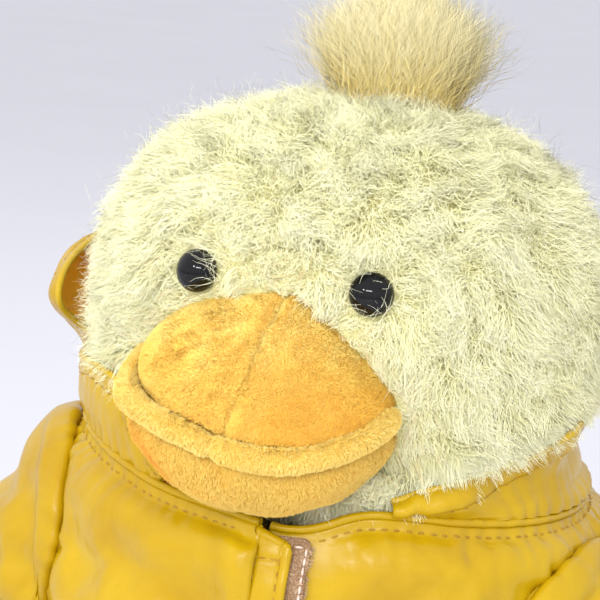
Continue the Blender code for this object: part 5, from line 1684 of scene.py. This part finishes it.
for side, sign, seed in (("left", 1, 610), ("right", -1, 620)):
    along = -WING_D * np.array([sign, 1, 1])
    thin = np.cross([0, 1.0, 0], along)
    thin = thin / np.linalg.norm(thin)
    wide = np.cross(along, thin)
    wide = wide / np.linalg.norm(wide)
    turn = np.stack([thin, wide, along], 1)
    centre = WING_C * np.array([sign, 1, 1])
    P = soft_form((10, 16), 38, 38, 2.2, 2.2, 56, 80, -0.7, turn=turn, centre=centre, high=0.80)
    N = grid_normals(P, True, centre)
    if (N * (P - centre)).sum() < 0:
        N = -N
    obj = capped("wing_" + side + "_hide", "wing_" + side, P, HIDE)
    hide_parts("wing_" + side + "_skin")
    cuff = CUFF_C * np.array([sign, 1, 1])
    pelt("wing_" + side + "_pile", "wing_" + side, P, N, 6500, 6.5, seed, lambda p, c=cuff, d=-along: (((p - c) @ d) > -3.5).astype(float), tuple(-along), 0.9)

    # leg
    flip = np.array([sign, 1, 1])
    leg_turn = rot("Z", 8 * sign) @ rot("X", 90)
    leg_c = np.array([31.5, -69.0, 17.8]) * flip
    P = soft_form((14.8, 15.5), 22.5, 22.5, 2.4, 2.4, 50, 80, -0.7, turn=leg_turn, centre=leg_c)
    N = grid_normals(P, True, leg_c)
    obj = capped("leg_" + side + "_hide", "leg_" + side, P, HIDE, False, False)
    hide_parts("leg_" + side + "_skin")
    pelt("leg_" + side + "_pile", "leg_" + side, P, N, 9000, 6.0, seed + 1, lambda p: ((p[..., 1] > -89) & (p[..., 1] < -52) & (p[..., 2] > 2.6)).astype(float), (0, -1.0, -0.2), 0.5)

    # foot
    foot_c = np.array([37.0, -98.5, 28.5]) * flip
    foot_turn = rot("Z", 10 * sign) @ rot("X", 78) @ rot("Z", -9 * sign)

    def webbed(P, rng_seed=seed):
        a = np.arctan2(P[..., 0], P[..., 1])
        grow = np.where(np.abs(a) < math.radians(95), 1.0 + 0.10 * np.cos(a * 4.2), 1.0)
        Q = P.copy()
        Q[..., 0] *= grow
        Q[..., 1] *= grow
        # two sewn lines part the toes and draw the web in
        far = np.hypot(Q[..., 0], Q[..., 1])
        for line in (-0.75, 0.75):
            off = np.abs(np.angle(np.exp(1j * (a - line)))) * far
            draw = np.exp(-((off / 1.3) ** 2)) * smooth_step(far, 6, 12)
            Q[..., 2] *= 1 - 0.34 * draw
        return Q

    P = soft_form((23.5, 26.8), 7.5, 7.5, 2.6, 2.6, 60, 150, -0.5, lobes=webbed, turn=foot_turn, centre=foot_c)
    N = grid_normals(P, True, foot_c)
    P = P + N * (Waves(seed + 2, 12, 8)(P) * 0.35)[..., None]
    obj = capped("foot_" + side + "_hide", "leg_" + side, P, ORANGE_HIDE, False, False)
    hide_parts("foot_" + side + "_skin")
    nap("foot_" + side + "_nap", "leg_" + side, P, N, 22000, 1.4, lambda root, normal: tangent(np.array([0, 0, -1.0]) + 0 * root, normal) * 0.5 + swirl(root, normal, 0.4, 1.0), ORANGE, np.random.default_rng(seed + 3), keep=lambda p: (p[..., 2] > 0.9).astype(float), width=0.2)

tail_turn = rot("X", 22) @ rot("X", -90)
tail_c = np.array([0, 72.2, 25.0])
P = soft_form((15, 8.5), 17, 17, 2.0, 2.0, 44, 72, -0.7, turn=tail_turn, centre=tail_c)
N = grid_normals(P, True, tail_c)
obj = capped("tail_hide", "tail", P, HIDE, False, False)
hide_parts("tail_skin")
pelt("tail_pile", "tail", P, N, 5000, 6.5, 631, lambda p: (p[..., 1] > 58.5).astype(float), (0, 1.0, 0.3), 0.7)

# ------------------------------------------------------------------ stage, light and camera
def floor():
    mesh = bpy.data.meshes.new("floor")
    mesh.from_pydata([(-40, -40, 0), (40, -40, 0), (40, 40, 0), (-40, 40, 0)], [], [(0, 1, 2, 3)])
    mat, tree, shader = principled("floor_paint", srgb("C6C6CE"), 0.95, specular=0.1)
    cloud = noise_node(tree, 0.004, 2.0, 0.5)
    link(tree, ramp(tree, cloud.outputs["Fac"], ((0.3, srgb("D2D2D9")), (0.7, srgb("D4D4DB")))).outputs["Color"], shader.inputs["Base Color"])
    mesh.materials.append(mat)
    obj = bpy.data.objects.new("floor", mesh)
    bpy.context.scene.collection.objects.link(obj)


floor()


def lamp(name, at, target, size, power, colour=(1, 1, 1), spread=math.pi):
    data = bpy.data.lights.new(name, "AREA")
    data.shape = "RECTANGLE"
    data.size, data.size_y = size
    data.energy = power
    data.color = colour
    data.spread = spread
    obj = bpy.data.objects.new(name, data)
    obj.location = at
    obj.rotation_euler = (Vector(target) - Vector(at)).to_track_quat("-Z", "Y").to_euler()
    bpy.context.scene.collection.objects.link(obj)
    return obj


middle = (0, FY * 0.001, 0.15)
# Broad lamps give the light and stay out of reflections, where two small bright ones show instead.
for broad in (
    lamp("key", (0.05, -0.95, 0.72), middle, (0.6, 0.6), 3.3, (1.0, 0.995, 0.985)),
    lamp("top", (-0.15, -0.10, 1.15), middle, (0.9, 0.9), 2.0, (1.0, 1.0, 1.0)),
    lamp("fill", (0.42, -0.92, 0.28), middle, (0.7, 0.7), 2.45, (1.0, 1.0, 0.99)),
    lamp("rear", (0.2, 0.8, 0.9), middle, (0.8, 0.5), 1.8, (1.0, 1.0, 1.0)),
    lamp("near_side", (-0.9, -0.7, 0.5), middle, (0.6, 0.6), 2.2, (1.0, 1.0, 1.0)),
):
    broad.visible_glossy = False
lamp("spark", (-0.30, -0.85, 0.62), middle, (0.05, 0.05), 1.0, (1.0, 1.0, 1.0))
lamp("spark_bar", (0.10, -0.95, 0.62), middle, (0.46, 0.07), 3.0, (1.0, 1.0, 1.0))

world = bpy.data.worlds.new("studio")
world.use_nodes = True
world.node_tree.nodes["Background"].inputs["Color"].default_value = (0.935, 0.935, 0.96, 1)
world.node_tree.nodes["Background"].inputs["Strength"].default_value = 1.11
bpy.context.scene.world = world
bpy.context.scene.view_settings.view_transform = "Standard"

AZ, EL, ROLL, FAR, FOV = math.radians(18.61), math.radians(11.4), math.radians(4.2), 481.3, math.radians(17.93)
away = np.array([math.sin(AZ) * math.cos(EL), -math.cos(AZ) * math.cos(EL), math.sin(EL)])
right = np.array([math.cos(AZ), math.sin(AZ), 0.0])
up = np.cross(away, right)
cam_right = right * math.cos(ROLL) + up * math.sin(ROLL)
cam_up = -right * math.sin(ROLL) + up * math.cos(ROLL)
spot = place(HEAD_C - 12.57 * cam_right + 0.04 * cam_up + away * FAR)
data = bpy.data.cameras.new("camera")
data.sensor_fit = "AUTO"
data.lens_unit = "FOV"
data.angle = FOV
data.clip_start = 0.01
data.dof.use_dof = False
camera = bpy.data.objects.new("camera", data)
camera.matrix_world = Matrix(((cam_right[0], cam_up[0], away[0], spot[0]), (cam_right[1], cam_up[1], away[1], spot[1]), (cam_right[2], cam_up[2], away[2], spot[2]), (0, 0, 0, 1)))
bpy.context.scene.collection.objects.link(camera)
bpy.context.scene.camera = camera
